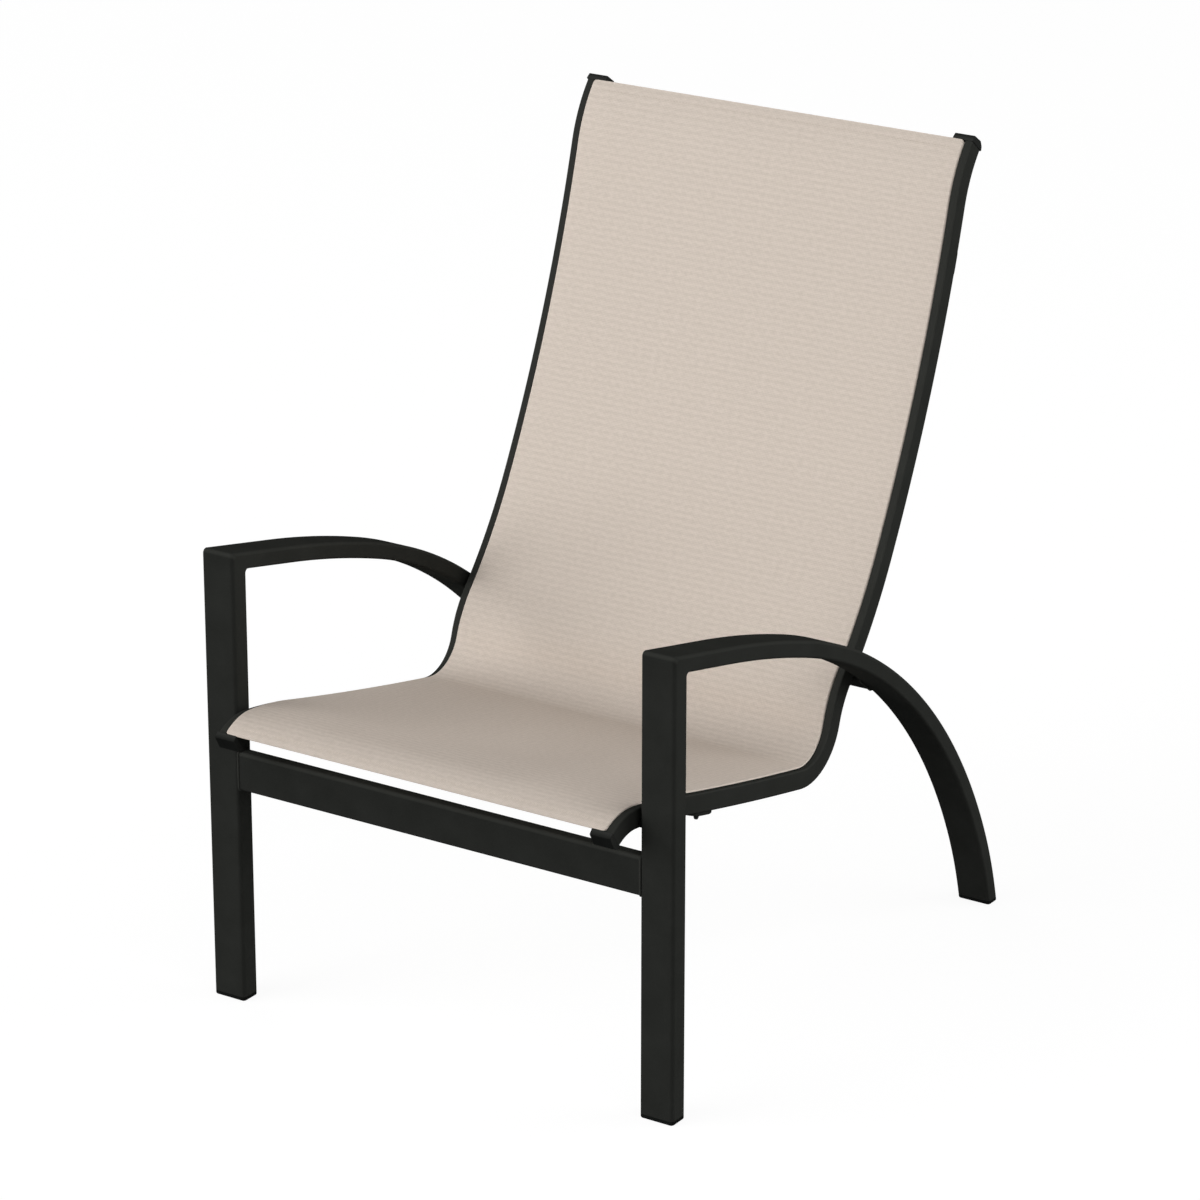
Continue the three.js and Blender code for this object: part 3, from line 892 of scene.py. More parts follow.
@dataclass(frozen=True)
class WeldBead:
    """A weld laid in overlapping ripples, each a flattened drop along the joint."""

    radius: float = 1.5
    ripple_pitch: float = 1.0
    size_drift: float = 0.12
    seed: int = 7

    def laid(self, name: str, loops: Rings) -> Mesh:
        """Lays the bead along closed loops.

        Args:
            name: Name of the mesh.
            loops: The joints' lines, in millimetres.

        Returns:
            The bead as a plain mesh.
        """
        pattern = PatternTree("weld_bead")
        tree = pattern.nodes
        radius = pattern.size("Bead radius", self.radius * MM)
        pitch = pattern.size("Ripple pitch", self.ripple_pitch * MM)
        drift = pattern.size("Size drift", self.size_drift)
        seed = pattern.size("Seed", self.seed, "Int")
        tangent = {"Vector": add_node(tree, "GeometryNodeInputTangent")}
        facing = add_node(tree, "FunctionNodeAlignRotationToVector", tangent, axis="Z")
        low, high = (
            add_node(tree, "ShaderNodeMath", {0: 1.0, 1: drift}, operation=way)
            for way in ("SUBTRACT", "ADD")
        )
        scale = add_node(tree, "FunctionNodeRandomValue", {2: low, 3: high, 8: seed})
        ripples = {"Points": pattern.spaced(pitch), "Instance": pattern.ball(10, 7, radius)}
        sockets = {**ripples, "Rotation": facing, "Scale": scale.outputs[1]}
        pattern.finish(add_node(tree, "GeometryNodeInstanceOnPoints", sockets), POWDER_COAT)
        return pattern.applied(polyline(name, loops, closed=True))


# --------------------------------------------------------------------------------------
# The chair


@dataclass(frozen=True)
class SideFrame:
    """A front leg and the arm that runs down into the rear leg, welded at a mitre."""

    leg_inner_face: float = 285.3
    leg_width: float = 45.6
    leg_depth: float = 27.5
    arm_thickness: float = 20.8
    corner_radius: float = 4.5
    mitre_radius: float = 5.0
    mitre_rings: int = 8
    leg_rings: int = 12
    ring_step: float = 6.0
    # How far the arm's rings run on past its path, so that the last one lies under the foot
    run_on: float = 60.0
    # Painted light: shares of a lighter colour on the tops, sides, front and round edges
    top_wear: float = 0.45
    side_wear: float = 0.3
    front_wear: float = 0.08
    edge_wear: float = 0.85
    glide_height: float = 5.0
    # Height above the floor and inset of each ring of a glide, from its round lower edge up
    glide_rings: tuple[tuple[float, float], ...] = (
        (0.0, 2.4), (0.0, 1.7), (0.12, 1.2), (0.5, 0.6), (1.1, 0.2), (1.9, 0.0),
        (4.5, 0.0), (4.85, 0.12), (5.0, 0.45),
    )

    @property
    def middle(self) -> float:
        """Distance of the tubes' middle from the chair's middle plane."""
        return self.leg_inner_face + self.leg_width / 2

    def section(self, side: Side, inset: float = 0.0) -> Outline:
        """The tube's outline.

        Args:
            side: The side.
            inset: How far the outline lies inside the tube's own.

        Returns:
            Places across the chair and shares of the tube's depth.
        """
        width, depth = self.leg_width - 2 * inset, self.leg_depth - 2 * inset
        outline = rounded_rectangle(width, depth, self.corner_radius - inset)
        return [(side.value * self.middle + u, 0.5 + v / self.leg_depth) for u, v in outline]

    def leg_ring(self, side: Side, height: float, inset: float = 0.0) -> list[Vector]:
        """The leg's level outline.

        Args:
            side: The side.
            height: Height above the floor.
            inset: How far the outline lies inside the leg's own.

        Returns:
            The outline's points.
        """
        upright = Station(0, height, math.pi / 2, 0)
        section = self.section(side, inset)
        return [upright.point(x, share * self.leg_depth) for x, share in section]

    def arm_ring(self, side: Side, station: Station) -> list[Vector]:
        """The arm's outline at a station of its path."""
        section = self.section(side)
        return [station.point(x, share * self.arm_thickness) for x, share in section]

    def foot_ring(self, side: Side, height: float, inset: float = 0.0) -> list[Vector]:
        """The rear leg's level outline at a height just above the floor."""
        end, section = ARM_PATH.end, self.section(side, inset)
        return [end.on_level(x, share * self.arm_thickness, height) for x, share in section]

    def corner_rings(self, side: Side) -> Rings:
        """Rings round the mitre, where each line of the tube turns on the same small radius.

        Args:
            side: The side.

        Returns:
            The rings, from the leg to the arm.
        """
        start, radius = ARM_PATH.station(0), self.mitre_radius
        tilt = start.heading
        turn = math.pi / 2 - tilt
        inner_drop = self.leg_depth * math.tan(tilt) - self.arm_thickness / math.cos(tilt)
        tangent = radius * math.tan(turn / 2)
        rings = []
        for i in range(self.mitre_rings + 1):
            angle = turn * i / self.mitre_rings
            ring = []
            for x, share in self.section(side):
                y = share * self.leg_depth + radius * (1 - math.cos(angle))
                z = start.z + share * inner_drop - tangent + radius * math.sin(angle)
                ring.append(Vector((x, y - LEG_FRONT_TO_ORIGIN, z)))
            rings.append(ring)
        return rings

    def wear(self, front: float, edges: float) -> list[float]:
        """The painted light on a ring, from the shares on its front or top and on its edges there.
        """
        side = self.side_wear
        return corner_wear((side, 0.0, side, front), (side / 2, side / 2, edges, edges))

    def tube(self, side: Side) -> Mesh:
        """The whole side frame as one skin, from the front foot over the arm to the rear foot.

        Args:
            side: The side.

        Returns:
            Its mesh, marked where it gets painted light.
        """
        foot, count = self.glide_height + SEAT_GAP, self.leg_rings
        corner = self.corner_rings(side)
        leg_top = min(p.z for p in corner[0]) - self.corner_radius
        heights = [foot + (leg_top - foot) * i / count for i in range(count + 1)]
        legs = [self.leg_ring(side, height) for height in heights]
        arms = []
        first, last = 2 * self.arm_thickness, ARM_PATH.length + self.run_on
        for station in ARM_PATH.stations(first, last, self.ring_step):
            ring = self.arm_ring(side, station)
            if min(p.z for p in ring) > foot + self.ring_step / 2:
                arms.append(ring)
        rings = [*legs, *corner, *arms, self.foot_ring(side, foot)]
        # Painted light: lighter on the arm's top and edges, rising over the mitre.
        worn = self.wear(self.front_wear, self.front_wear) * len(legs)
        for i in range(len(corner)):
            turned = i / (len(corner) - 1)
            crest = self.edge_wear * math.sin(math.pi * turned)
            edges = max(self.edge_wear * turned, crest)
            worn += self.wear(max(self.top_wear * turned, crest), edges)
        worn += self.wear(self.top_wear, self.edge_wear) * (len(arms) + 1)
        return mark_worn(smoothed(loft(f"{side.label}_side_frame", rings)), worn)

    def glide(self, name: str, ring: Callable[..., list[Vector]], side: Side) -> Mesh:
        """A moulded foot with a round lower edge.

        Args:
            name: Name of the mesh.
            ring: Gives the tube's level outline for a side, a height and an inset.
            side: The side.

        Returns:
            The glide's mesh.
        """
        scale = self.glide_height / self.glide_rings[-1][0]
        rings = [ring(side, height * scale, inset) for height, inset in self.glide_rings]
        return smoothed(loft(name, rings))

    def build(self, side: Side) -> None:
        """Makes the side frame and its two glides.

        Args:
            side: The side.
        """
        label = side.label
        nodes = [f"{label}_front_leg", f"{label}_arm_rear_leg"]
        add_piece(f"{label}_side_frame_tube", self.tube(side), POWDER_COAT, Slot.FRAME, nodes)
        for place, ring in (("front", self.leg_ring), ("rear", self.foot_ring)):
            name = f"{label}_{place}_foot_glide"
            mesh = self.glide(name, ring, side)
            add_piece(name, mesh, MOULDED_NYLON, Slot.PLASTIC, [f"{label}_{place}_glide"])


@dataclass(frozen=True)
class Crossbars:
    """The two tubes that join the side frames, and the welds at their ends."""

    half_length: float = 285.2
    front_height: float = 49.5
    front_depth: float = 18.0
    front_rise: float = 1.3
    front_advance: float = 3.0
    rear_width: float = 36.0
    thickness: float = 20.8
    corner_radius: float = 4.2
    # Painted highlight on the bars' tops and front top edges, and over the welds
    top_wear: float = 0.9
    weld_wear: float = 0.8
    bead: WeldBead = WeldBead()
    # Each ring's place, as a share of the half length
    places: tuple[float, ...] = (-1.0, -0.995, -0.66, -0.33, 0.0, 0.33, 0.66, 0.995, 1.0)

    def rings(self, size: Sequence[float], centre: Vector, across: Vector, up: Vector) -> Rings:
        """Outlines of a bar along X.

        Args:
            size: Sizes of the section along across and up.
            centre: The bar's middle.
            across: First direction of the section.
            up: Second direction of the section.

        Returns:
            The outlines from one end to the other.
        """
        outline = rounded_rectangle(*size, self.corner_radius)
        ends = [centre + Vector((share * self.half_length, 0, 0)) for share in self.places]
        return [[end + u * across + v * up for u, v in outline] for end in ends]

    def rear_station(self) -> tuple[Vector, Station]:
        """The rear bar's middle and the arm's station at it."""
        centre = middle_of("rear_crossbar")
        return centre, ARM_PATH.station_over(centre.y, self.thickness / 2)

    def build(self) -> None:
        """Makes both bars, each with a bead round both ends."""
        centre = middle_of("front_crossbar") + Vector((0, -self.front_advance, self.front_rise))
        size = (self.front_depth, self.front_height)
        front = self.rings(size, centre, Vector((0, 1, 0)), Vector((0, 0, 1)))
        centre, arm = self.rear_station()
        rear = self.rings((self.rear_width, self.thickness), centre, arm.forward, -arm.inward)
        # Painted highlight on the top face and most on its front edge.
        worn = corner_wear((0.0, self.top_wear, 0.0, 0.0), (self.top_wear / 2, 1.0, 0.0, 0.0))
        for name, rings in (("front_crossbar", front), ("rear_crossbar", rear)):
            mesh = mark_worn(smoothed(loft(f"{name}_bar", rings)), worn * len(rings))
            add_piece(f"{name}_tube", mesh, POWDER_COAT, Slot.FRAME, [name])
            welds = self.bead.laid(f"{name}_weld", [rings[0], rings[-1]])
            # Painted highlight over the whole bead.
            mark_worn(welds, [self.weld_wear] * len(welds.vertices))
            add_piece(f"{name}_welds", welds, POWDER_COAT, Slot.FRAME)


def eased(share: float) -> float:
    """A share held between 0 and 1, which leaves and reaches them softly."""
    held = min(1.0, max(0.0, share))
    return held * held * (3 - 2 * held)


def seat_share(along: float) -> float:
    """How fully a place along the rails is part of the seat, from 1 there to 0 up the back."""
    faded = eased((along - SEAT_END) / SEAT_FADE)
    return (1 - faded) * min(1.0, max(0.0, along / LIP_RUN_IN))


@dataclass(frozen=True)
class SlingRails:
    """The two bent extrusions that hold the cloth, with their end caps."""

    outer_face: float = 277.7
    width: float = 26.2
    size: float = 25.0
    edge_radius: float = 2.0
    slot_from_outside: float = 9.6
    slot_width: float = 3.0
    slot_depth: float = 7.0
    lip_radius: float = 0.5
    # How far in the middle of a lip's rounding lies, as a share of its radius
    lip_middle: float = 0.3
    # How far behind the rail's front the outer lip's dip has faded out
    lip_reach: float = 9.0
    ring_step: float = 5.0
    cap_front_rise: float = 8.5
    cap_crown_rise: float = 11.5
    cap_heel_rise: float = 5.5
    cap_crown_depth: float = 18.0
    cap_radii: tuple[float, ...] = (0.5, 2.0, 3.0, 2.4, 0.5)
    cap_least_radius: float = 0.2
    cap_proud: float = 1.0
    cap_edge_radius: float = 1.3
    # Painted highlight: a band along the caps' fronts, their flanks, and the rails' front lip and
    # outer face
    cap_front_band: float = 1.5
    cap_side_wear: float = 0.55
    front_wear: float = 0.7
    outside_wear: float = 0.35

    @property
    def middle(self) -> float:
        """Distance of the rail's middle from the chair's middle plane."""
        return self.outer_face - self.width / 2

    def section(self) -> Outline:
        """The rail's outline, with its slot.

        Returns:
            Distances in from the rail's outer face and depths behind its front.
        """
        outline = [
            (self.width / 2 - u, self.size / 2 - v)
            for u, v in rounded_rectangle(self.width, self.size, self.edge_radius)
        ]
        near, far = self.slot_from_outside, self.slot_from_outside + self.slot_width
        lip, depth = self.lip_radius, self.slot_depth
        middle = lip * self.lip_middle
        # From the lip's flat over its rounding, as distances from the slot and depths
        rounding = ((2 * lip, 0.0), (lip, 0.0), (middle, middle), (0.0, lip), (0.0, depth))
        notch = [(near - u, v) for u, v in rounding]
        notch += [(far + u, v) for u, v in reversed(rounding)]
        start = next(
            i
            for i, (u, v) in enumerate(outline)
            if v < SAME_PLACE and u < near and outline[i + 1][0] > far
        )
        return [*outline[: start + 1], *notch, *outline[start + 1 :]]

    def rail(self, side: Side) -> Mesh:
        """One rail from the seat's front edge to the top of the back.

        Args:
            side: The side.

        Returns:
            Its mesh, marked where it gets painted highlight.
        """
        section = self.section()
        rings = []
        for s in RAIL_PATH.stations(0, RAIL_PATH.length, self.ring_step):
            dip = LIP_DIP * seat_share(s.along)
            ring = []
            for u, depth in section:
                lip = u <= self.slot_from_outside and depth < self.lip_reach
                low = depth + dip * (1 - depth / self.lip_reach) if lip else depth
                ring.append(s.point(side.value * (self.outer_face - u), low))
            rings.append(ring)
        # Painted highlight on the outer face, the front lip and most on the corner between them.
        front, outside = self.front_wear, self.outside_wear
        worn = corner_wear((outside, front, 0.0, 0.0), (1.0, front, 0.0, 0.0))
        corner = len(worn) // 4
        notch = [front] * (len(section) - len(worn))
        worn = [*worn[:corner], *notch, *worn[corner:]]
        return mark_worn(smoothed(loft(f"{side.label}_rail", rings)), worn * len(rings))

    def cap(self, name: str, side: Side, station: Station, outwards: int) -> Mesh:
        """A moulded end cap, which rises from its front edge to a crown and falls to its heel.

        Args:
            name: Name of the mesh.
            side: The side.
            station: The rail's end.
            outwards: 1 where the heading leaves the rail, and -1 where it enters it.

        Returns:
            The cap's mesh.
        """
        front, rear = -self.cap_proud, self.size + self.cap_proud
        rises = (
            (front, 0.0), (front, self.cap_front_rise),
            (self.cap_crown_depth, self.cap_crown_rise),
            (rear, self.cap_heel_rise), (rear, 0.0),
        )
        corners = [Vector((depth, SEAT_GAP + rise)) for depth, rise in rises]
        half, edge = self.width / 2 + self.cap_proud, self.cap_edge_radius
        angles = [math.pi / 2 * i / CAP_FACETS for i in range(CAP_FACETS + 1)]
        near = [(half - edge + edge * math.sin(a), edge * (1 - math.cos(a))) for a in angles]
        rings, worn = [], []
        for x, inset in (*near[::-1], *[(-x, inset) for x, inset in near]):
            radii = [max(self.cap_least_radius, radius - inset / 2) for radius in self.cap_radii]
            outline = rounded_polygon(inset_polygon(corners, inset), radii)
            place = side.value * self.middle + x
            rings.append([station.point(place, p.x, outwards * p.y) for p in outline])
            # Painted highlight on the cap's flanks and in a band along its front edge.
            flank = self.cap_side_wear * inset / edge
            worn += [max(flank, 1 - (p.x - front) / self.cap_front_band) for p in outline]
        return mark_worn(smoothed(loft(name, rings)), worn)

    def build(self, side: Side) -> None:
        """Makes one rail and its two caps.

        Args:
            side: The side.
        """
        label = side.label
        name = f"{label}_sling_rail"
        add_piece(f"{name}_extrusion", self.rail(side), POWDER_COAT, Slot.FRAME, [name])
        ends = (("front", RAIL_PATH.station(0), -1), ("top", RAIL_PATH.end, 1))
        for place, station, outwards in ends:
            node = f"{label}_{place}_rail_cap"
            name = f"{node}_moulding"
            mesh = self.cap(name, side, station, outwards)
            add_piece(name, mesh, MOULDED_NYLON, Slot.PLASTIC, [node])


@dataclass(frozen=True)
class Sling:
    """The stretched cloth, with the hems across its two free ends."""

    half_width: float = 267.7
    thickness: float = 1.2
    edge_radius: float = 2.4
    edge_facets: int = 6
    # The swollen edge's reach out over the lip, and its depth behind the rail's front
    lip_roll: float = 3.0
    lip_gap: float = -0.15
    hem_depth: float = 4.5
    end_reach: float = 0.2
    # The side hems' depth at the free ends, and the share of the corner where they stay so
    least_hem: float = 0.2
    hemless_share: float = 0.3
    # What the round edge leaves of its flat side, and its least radius inside
    least_flat: float = 0.1
    least_inner_radius: float = 0.15
    corner_radius: float = 5.0
    # Distance of each ring from a free end, round the corner there
    corner_places: tuple[float, ...] = (0.0, 0.4, 1.0, 1.8, 2.8, 3.9)
    columns: int = 14
    rows_per_rib: int = 6
    rib_height: float = 0.035
    crease_angle: float = 60.0
    end_hem_width: float = 16.0
    end_hem_thickness: float = 0.9
    end_hem_half_width: float = 250.0
    end_hem_step: float = 2.0
    end_hem_edge_thinning: float = 0.25
    ply_gap: float = 0.05
    stitch_from_end: float = 12.0
    stitch_length: float = 3.2
    stitch_gap: float = 1.2
    thread: float = 0.7
    hem_allowance: float = 40.0

    def arc(self) -> list[float]:
        """The angles of a quarter turn round the cloth's side edge."""
        return [math.pi / 2 / self.edge_facets * i for i in range(self.edge_facets + 1)]

    def outline(self, from_end: float, swell: float) -> Outline:
        """The cloth's section, as places across the chair and depths behind the rails' fronts.

        Args:
            from_end: Distance from the nearer free end.
            swell: How far its edges swell out over the slots' lips, from 0 to 1.

        Returns:
            The outline, first the upper face and then the lower one.
        """
        corner, arc = self.corner_radius, self.arc()
        short = max(0.0, corner - from_end)
        half = self.half_width - (corner - math.sqrt(corner**2 - short**2))
        front = -SEAT_GAP - self.thickness
        drop = self.hem_depth * min(1.0, max(0.0, from_end / corner - self.hemless_share))
        bottom = front + self.thickness + self.least_hem + drop
        radius = min(self.edge_radius, bottom - front - self.least_flat)
        inner = max(self.least_inner_radius, radius - self.thickness)
        middles = [1 - 2 * i / self.columns for i in range(1, self.columns)]
        plain = [(half, bottom), (half, (bottom + front + radius) / 2)]
        plain += [
            (half - radius * (1 - math.cos(a)), front + radius * (1 - math.sin(a))) for a in arc
        ]
        lip = self.lip_gap + LIP_DIP * swell
        bulge = (lip - front) / 2
        over = half + self.lip_roll - bulge
        swollen = [(half, bottom), (half, lip)]
        swollen += [
            (over + bulge * math.sin(2 * a), lip - bulge * (1 - math.cos(2 * a))) for a in arc
        ]
        outer = [Vector(p).lerp(Vector(q), swell) for p, q in zip(plain, swollen)]
        wall = half - self.thickness
        lining = [(wall, bottom)]
        lining += [
            (wall - inner * (1 - math.cos(a)), inner * (1 - math.sin(a)) - SEAT_GAP) for a in arc
        ]
        upper = [(m * (half - radius), front) for m in middles]
        lower = [(m * (wall - inner), -SEAT_GAP) for m in middles]
        faces = []
        for edge, flat in ((outer, upper), (lining, lower)):
            faces.append([*edge, *flat, *[(-x, depth) for x, depth in reversed(edge)]])
        return [*faces[0], *reversed(faces[1])]

    def panel(self) -> Mesh:
        """The cloth from end to end.

        Returns:
            Its mesh, with its map, its lengths along the cloth and the painted highlight along its
            fold.
        """
        step = SLING_CLOTH.rib_pitch_mm / self.rows_per_rib
        first, last = -self.end_reach, RAIL_PATH.length + self.end_reach
        corner = self.corner_radius
        inner = [s.along for s in RAIL_PATH.stations(first + corner, last - corner, step)]
        ends = self.corner_places
        places = [first + d for d in ends] + inner + [last - d for d in reversed(ends)]
        # Painted highlight along the fold over the lip, most where the edge faces out, on the seat
        # only.
        fold = [0.0, 0.0, *(math.cos(a) for a in self.arc())]
        upper = [*fold, *[0.0] * (self.columns - 1), *reversed(fold)]
        rings, fold_highlight = [], []
        for place in places:
            station, swell = RAIL_PATH.station(place), seat_share(place)
            outline = self.outline(min(place - first, last - place), swell)
            rings.append([station.point(x, depth) for x, depth in outline])
            fold_highlight += [share * swell for share in upper] + [0.0] * (len(outline) - len(upper))
        mesh = mark_worn(loft("sling_panel", rings), fold_highlight)
        count = len(rings[0])
        lengths = mesh.attributes.new("along", "FLOAT", "POINT")
        for i, length in enumerate(lengths.data):
            length.value = places[i // count] * MM
        map_weave(mesh, lambda vertex: places[vertex.index // count] * MM)
        return mesh

    def ribbed(self, mesh: Mesh) -> Mesh:
        """Raises the fine crosswise ribs.

        Args:
            mesh: The cloth's mesh, which knows its lengths along the cloth. It is used up.

        Returns:
            The mesh with its ribs.
        """
        pattern = PatternTree("sling_ribs")
        tree = pattern.nodes
        pitch = pattern.size("Rib pitch", SLING_CLOTH.rib_pitch_mm * MM)
        height = pattern.size("Rib height", self.rib_height / 2 * MM)
        rise = add_node(tree, "GeometryNodeInputNamedAttribute", {"Name": "along"})
        turns = (("DIVIDE", pitch), ("MULTIPLY", math.tau), ("SINE", 0.0), ("MULTIPLY", height))
        for way, other in turns:
            rise = add_node(tree, "ShaderNodeMath", {0: rise, 1: other}, operation=way)
        sockets = {0: add_node(tree, "GeometryNodeInputNormal"), "Scale": rise}
        offset = add_node(tree, "ShaderNodeVectorMath", sockets, operation="SCALE")
        sockets = {"Geometry": pattern.geometry, "Offset": offset}
        pattern.finish(add_node(tree, "GeometryNodeSetPosition", sockets), SLING_CLOTH)
        return pattern.applied(mesh)

    def end_hem(self, name: str, start: float) -> Mesh:
        """The strip turned back under one free end, between the rails.

        Args:
            name: Name of the mesh.
            start: Where the strip starts along the rails.

        Returns:
            The strip's mesh.
        """
        end, near = start + self.end_hem_width, -SEAT_GAP + self.ply_gap
        far, half = near + self.end_hem_thickness, self.end_hem_half_width
        rings = []
        for station in RAIL_PATH.stations(start, end, self.end_hem_step):
            edge = min(abs(station.along - start), abs(station.along - end))
            low = far - (self.end_hem_edge_thinning if edge < SAME_PLACE else 0.0)
            corners = ((half, near), (half, low), (0.0, low))
            corners += ((-half, low), (-half, near), (0.0, near))
            rings.append([station.point(x, depth) for x, depth in corners])
        mesh = loft(name, rings)
        map_weave(mesh, lambda vertex: vertex.co.z)
        return smoothed(mesh)

    def stitches(self) -> Mesh:
        """Rows of stitches through both end hems, seen on both faces of the cloth.

        Returns:
            All the stitches as one plain mesh.
        """
        pattern = PatternTree("hem_stitches")
        tree = pattern.nodes
        length = pattern.size("Stitch length", self.stitch_length * MM)
        pitch = pattern.size("Stitch pitch", (self.stitch_length + self.stitch_gap) * MM)
        thread = pattern.size("Thread", self.thread * MM)
        shape = add_node(tree, "ShaderNodeCombineXYZ", {0: length, 1: thread, 2: thread})
        # A ball one unit across takes the stitch's sizes from its scale.
        rows = {"Points": pattern.spaced(pitch), "Instance": pattern.ball(6, 5, 0.5)}
        stitches = add_node(tree, "GeometryNodeInstanceOnPoints", {**rows, "Scale": shape})
        pattern.finish(stitches, SEWING_THREAD)
        front = -SEAT_GAP - self.thickness - self.ply_gap
        rear = -SEAT_GAP + self.ply_gap + self.end_hem_thickness
        half = self.end_hem_half_width - self.stitch_gap
        lines = []
        for along in (self.stitch_from_end, RAIL_PATH.length - self.stitch_from_end):
            station = RAIL_PATH.station(along)
            for depth in (front, rear):
                lines.append([station.point(-half, depth), station.point(half, depth)])
        return pattern.applied(polyline("hem_stitches", lines, closed=False))

    def build(self) -> None:
        mesh = smoothed(self.ribbed(self.panel()), self.crease_angle)
        panel = add_piece("sling_cloth", mesh, SLING_CLOTH, Slot.SLING, ["sling"])
        for place, start in (("front", 0.0), ("top", RAIL_PATH.length - self.end_hem_width)):
            name = f"sling_{place}_hem"
            add_piece(name, self.end_hem(name, start), SLING_CLOTH, Slot.SLING)
        add_piece("sling_hem_stitches", self.stitches(), SEWING_THREAD, Slot.SLING)


@dataclass(frozen=True)
class SpreaderBar:
    """A round tube with flattened ends, bowed away from the sitter, that keeps the rails apart."""

    diameter: float = 28.0
    end_width: float = 54.0
    end_thickness: float = 4.4
    half_length: float = 275.0
    flat_length: float = 36.0
    taper_length: float = 60.0
    bow: float = 22.0
    corner_cut: float = 15.0
    rail_depth: float = 25.0
    # How much squarer than a circle the flattened ends are
    squareness: float = 1.6
    points: int = 40
    # Distance of each ring from an end, over its cut corners
    end_rings: tuple[float, ...] = (0.15, 0.8, 2.0, 4.0, 6.5, 9.5, 12.5)
    half_rings: int = 40
    crease_angle: float = 50.0

    def ring(self, station: Station, x: float) -> list[Vector]:
        """The bar's outline at a place across the chair.

        Args:
            station: The bar's station on the rails' path.
            x: The place across the chair.

        Returns:
            The outline's points.
        """
        across = abs(x)
        round_half = self.half_length - self.flat_length - self.taper_length
        flat = eased((across - round_half) / self.taper_length)
        half_width = (self.diameter + (self.end_width - self.diameter) * flat) / 2
        half_height = (self.diameter + (self.end_thickness - self.diameter) * flat) / 2
        bow_share = min(1.0, across / (round_half + self.taper_length))
        bow = self.bow * (1 + math.cos(math.pi * bow_share)) / 2
        cut = self.corner_cut
        past = across - (self.half_length - cut)
        if past > 0:
            half_width -= cut * (1 - math.sqrt(1 - (past / cut) ** 2))
        power = 1 + self.squareness * flat
        middle = self.rail_depth + SEAT_GAP + self.end_thickness / 2 + bow
        outline = []
        for i in range(self.points):
            angle = math.tau * i / self.points
            cosine, sine = math.cos(angle), math.sin(angle)
            forward = half_width * math.copysign(abs(cosine) ** (1 / power), cosine)
            rise = half_height * math.copysign(abs(sine) ** (1 / power), sine)
            outline.append(station.point(x, middle + rise, forward))
        return outline

    def build(self, name: str, along: float) -> None:
        """Makes one bar.

        Args:
            name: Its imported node.
            along: Its place along the rails.
        """
        station, count = RAIL_PATH.station(along), self.half_rings
        corner = self.half_length - self.corner_cut
        right = [self.half_length - d for d in self.end_rings]
        right += [corner * (1 - i / count) for i in range(count + 1)]
        places = [*right, *[-x for x in reversed(right[:-1])]]
        rings = [self.ring(station, x) for x in places]
        mesh = smoothed(loft(f"{name}_bar", rings), self.crease_angle)
        add_piece(f"{name}_tube", mesh, POWDER_COAT, Slot.FRAME, [name])


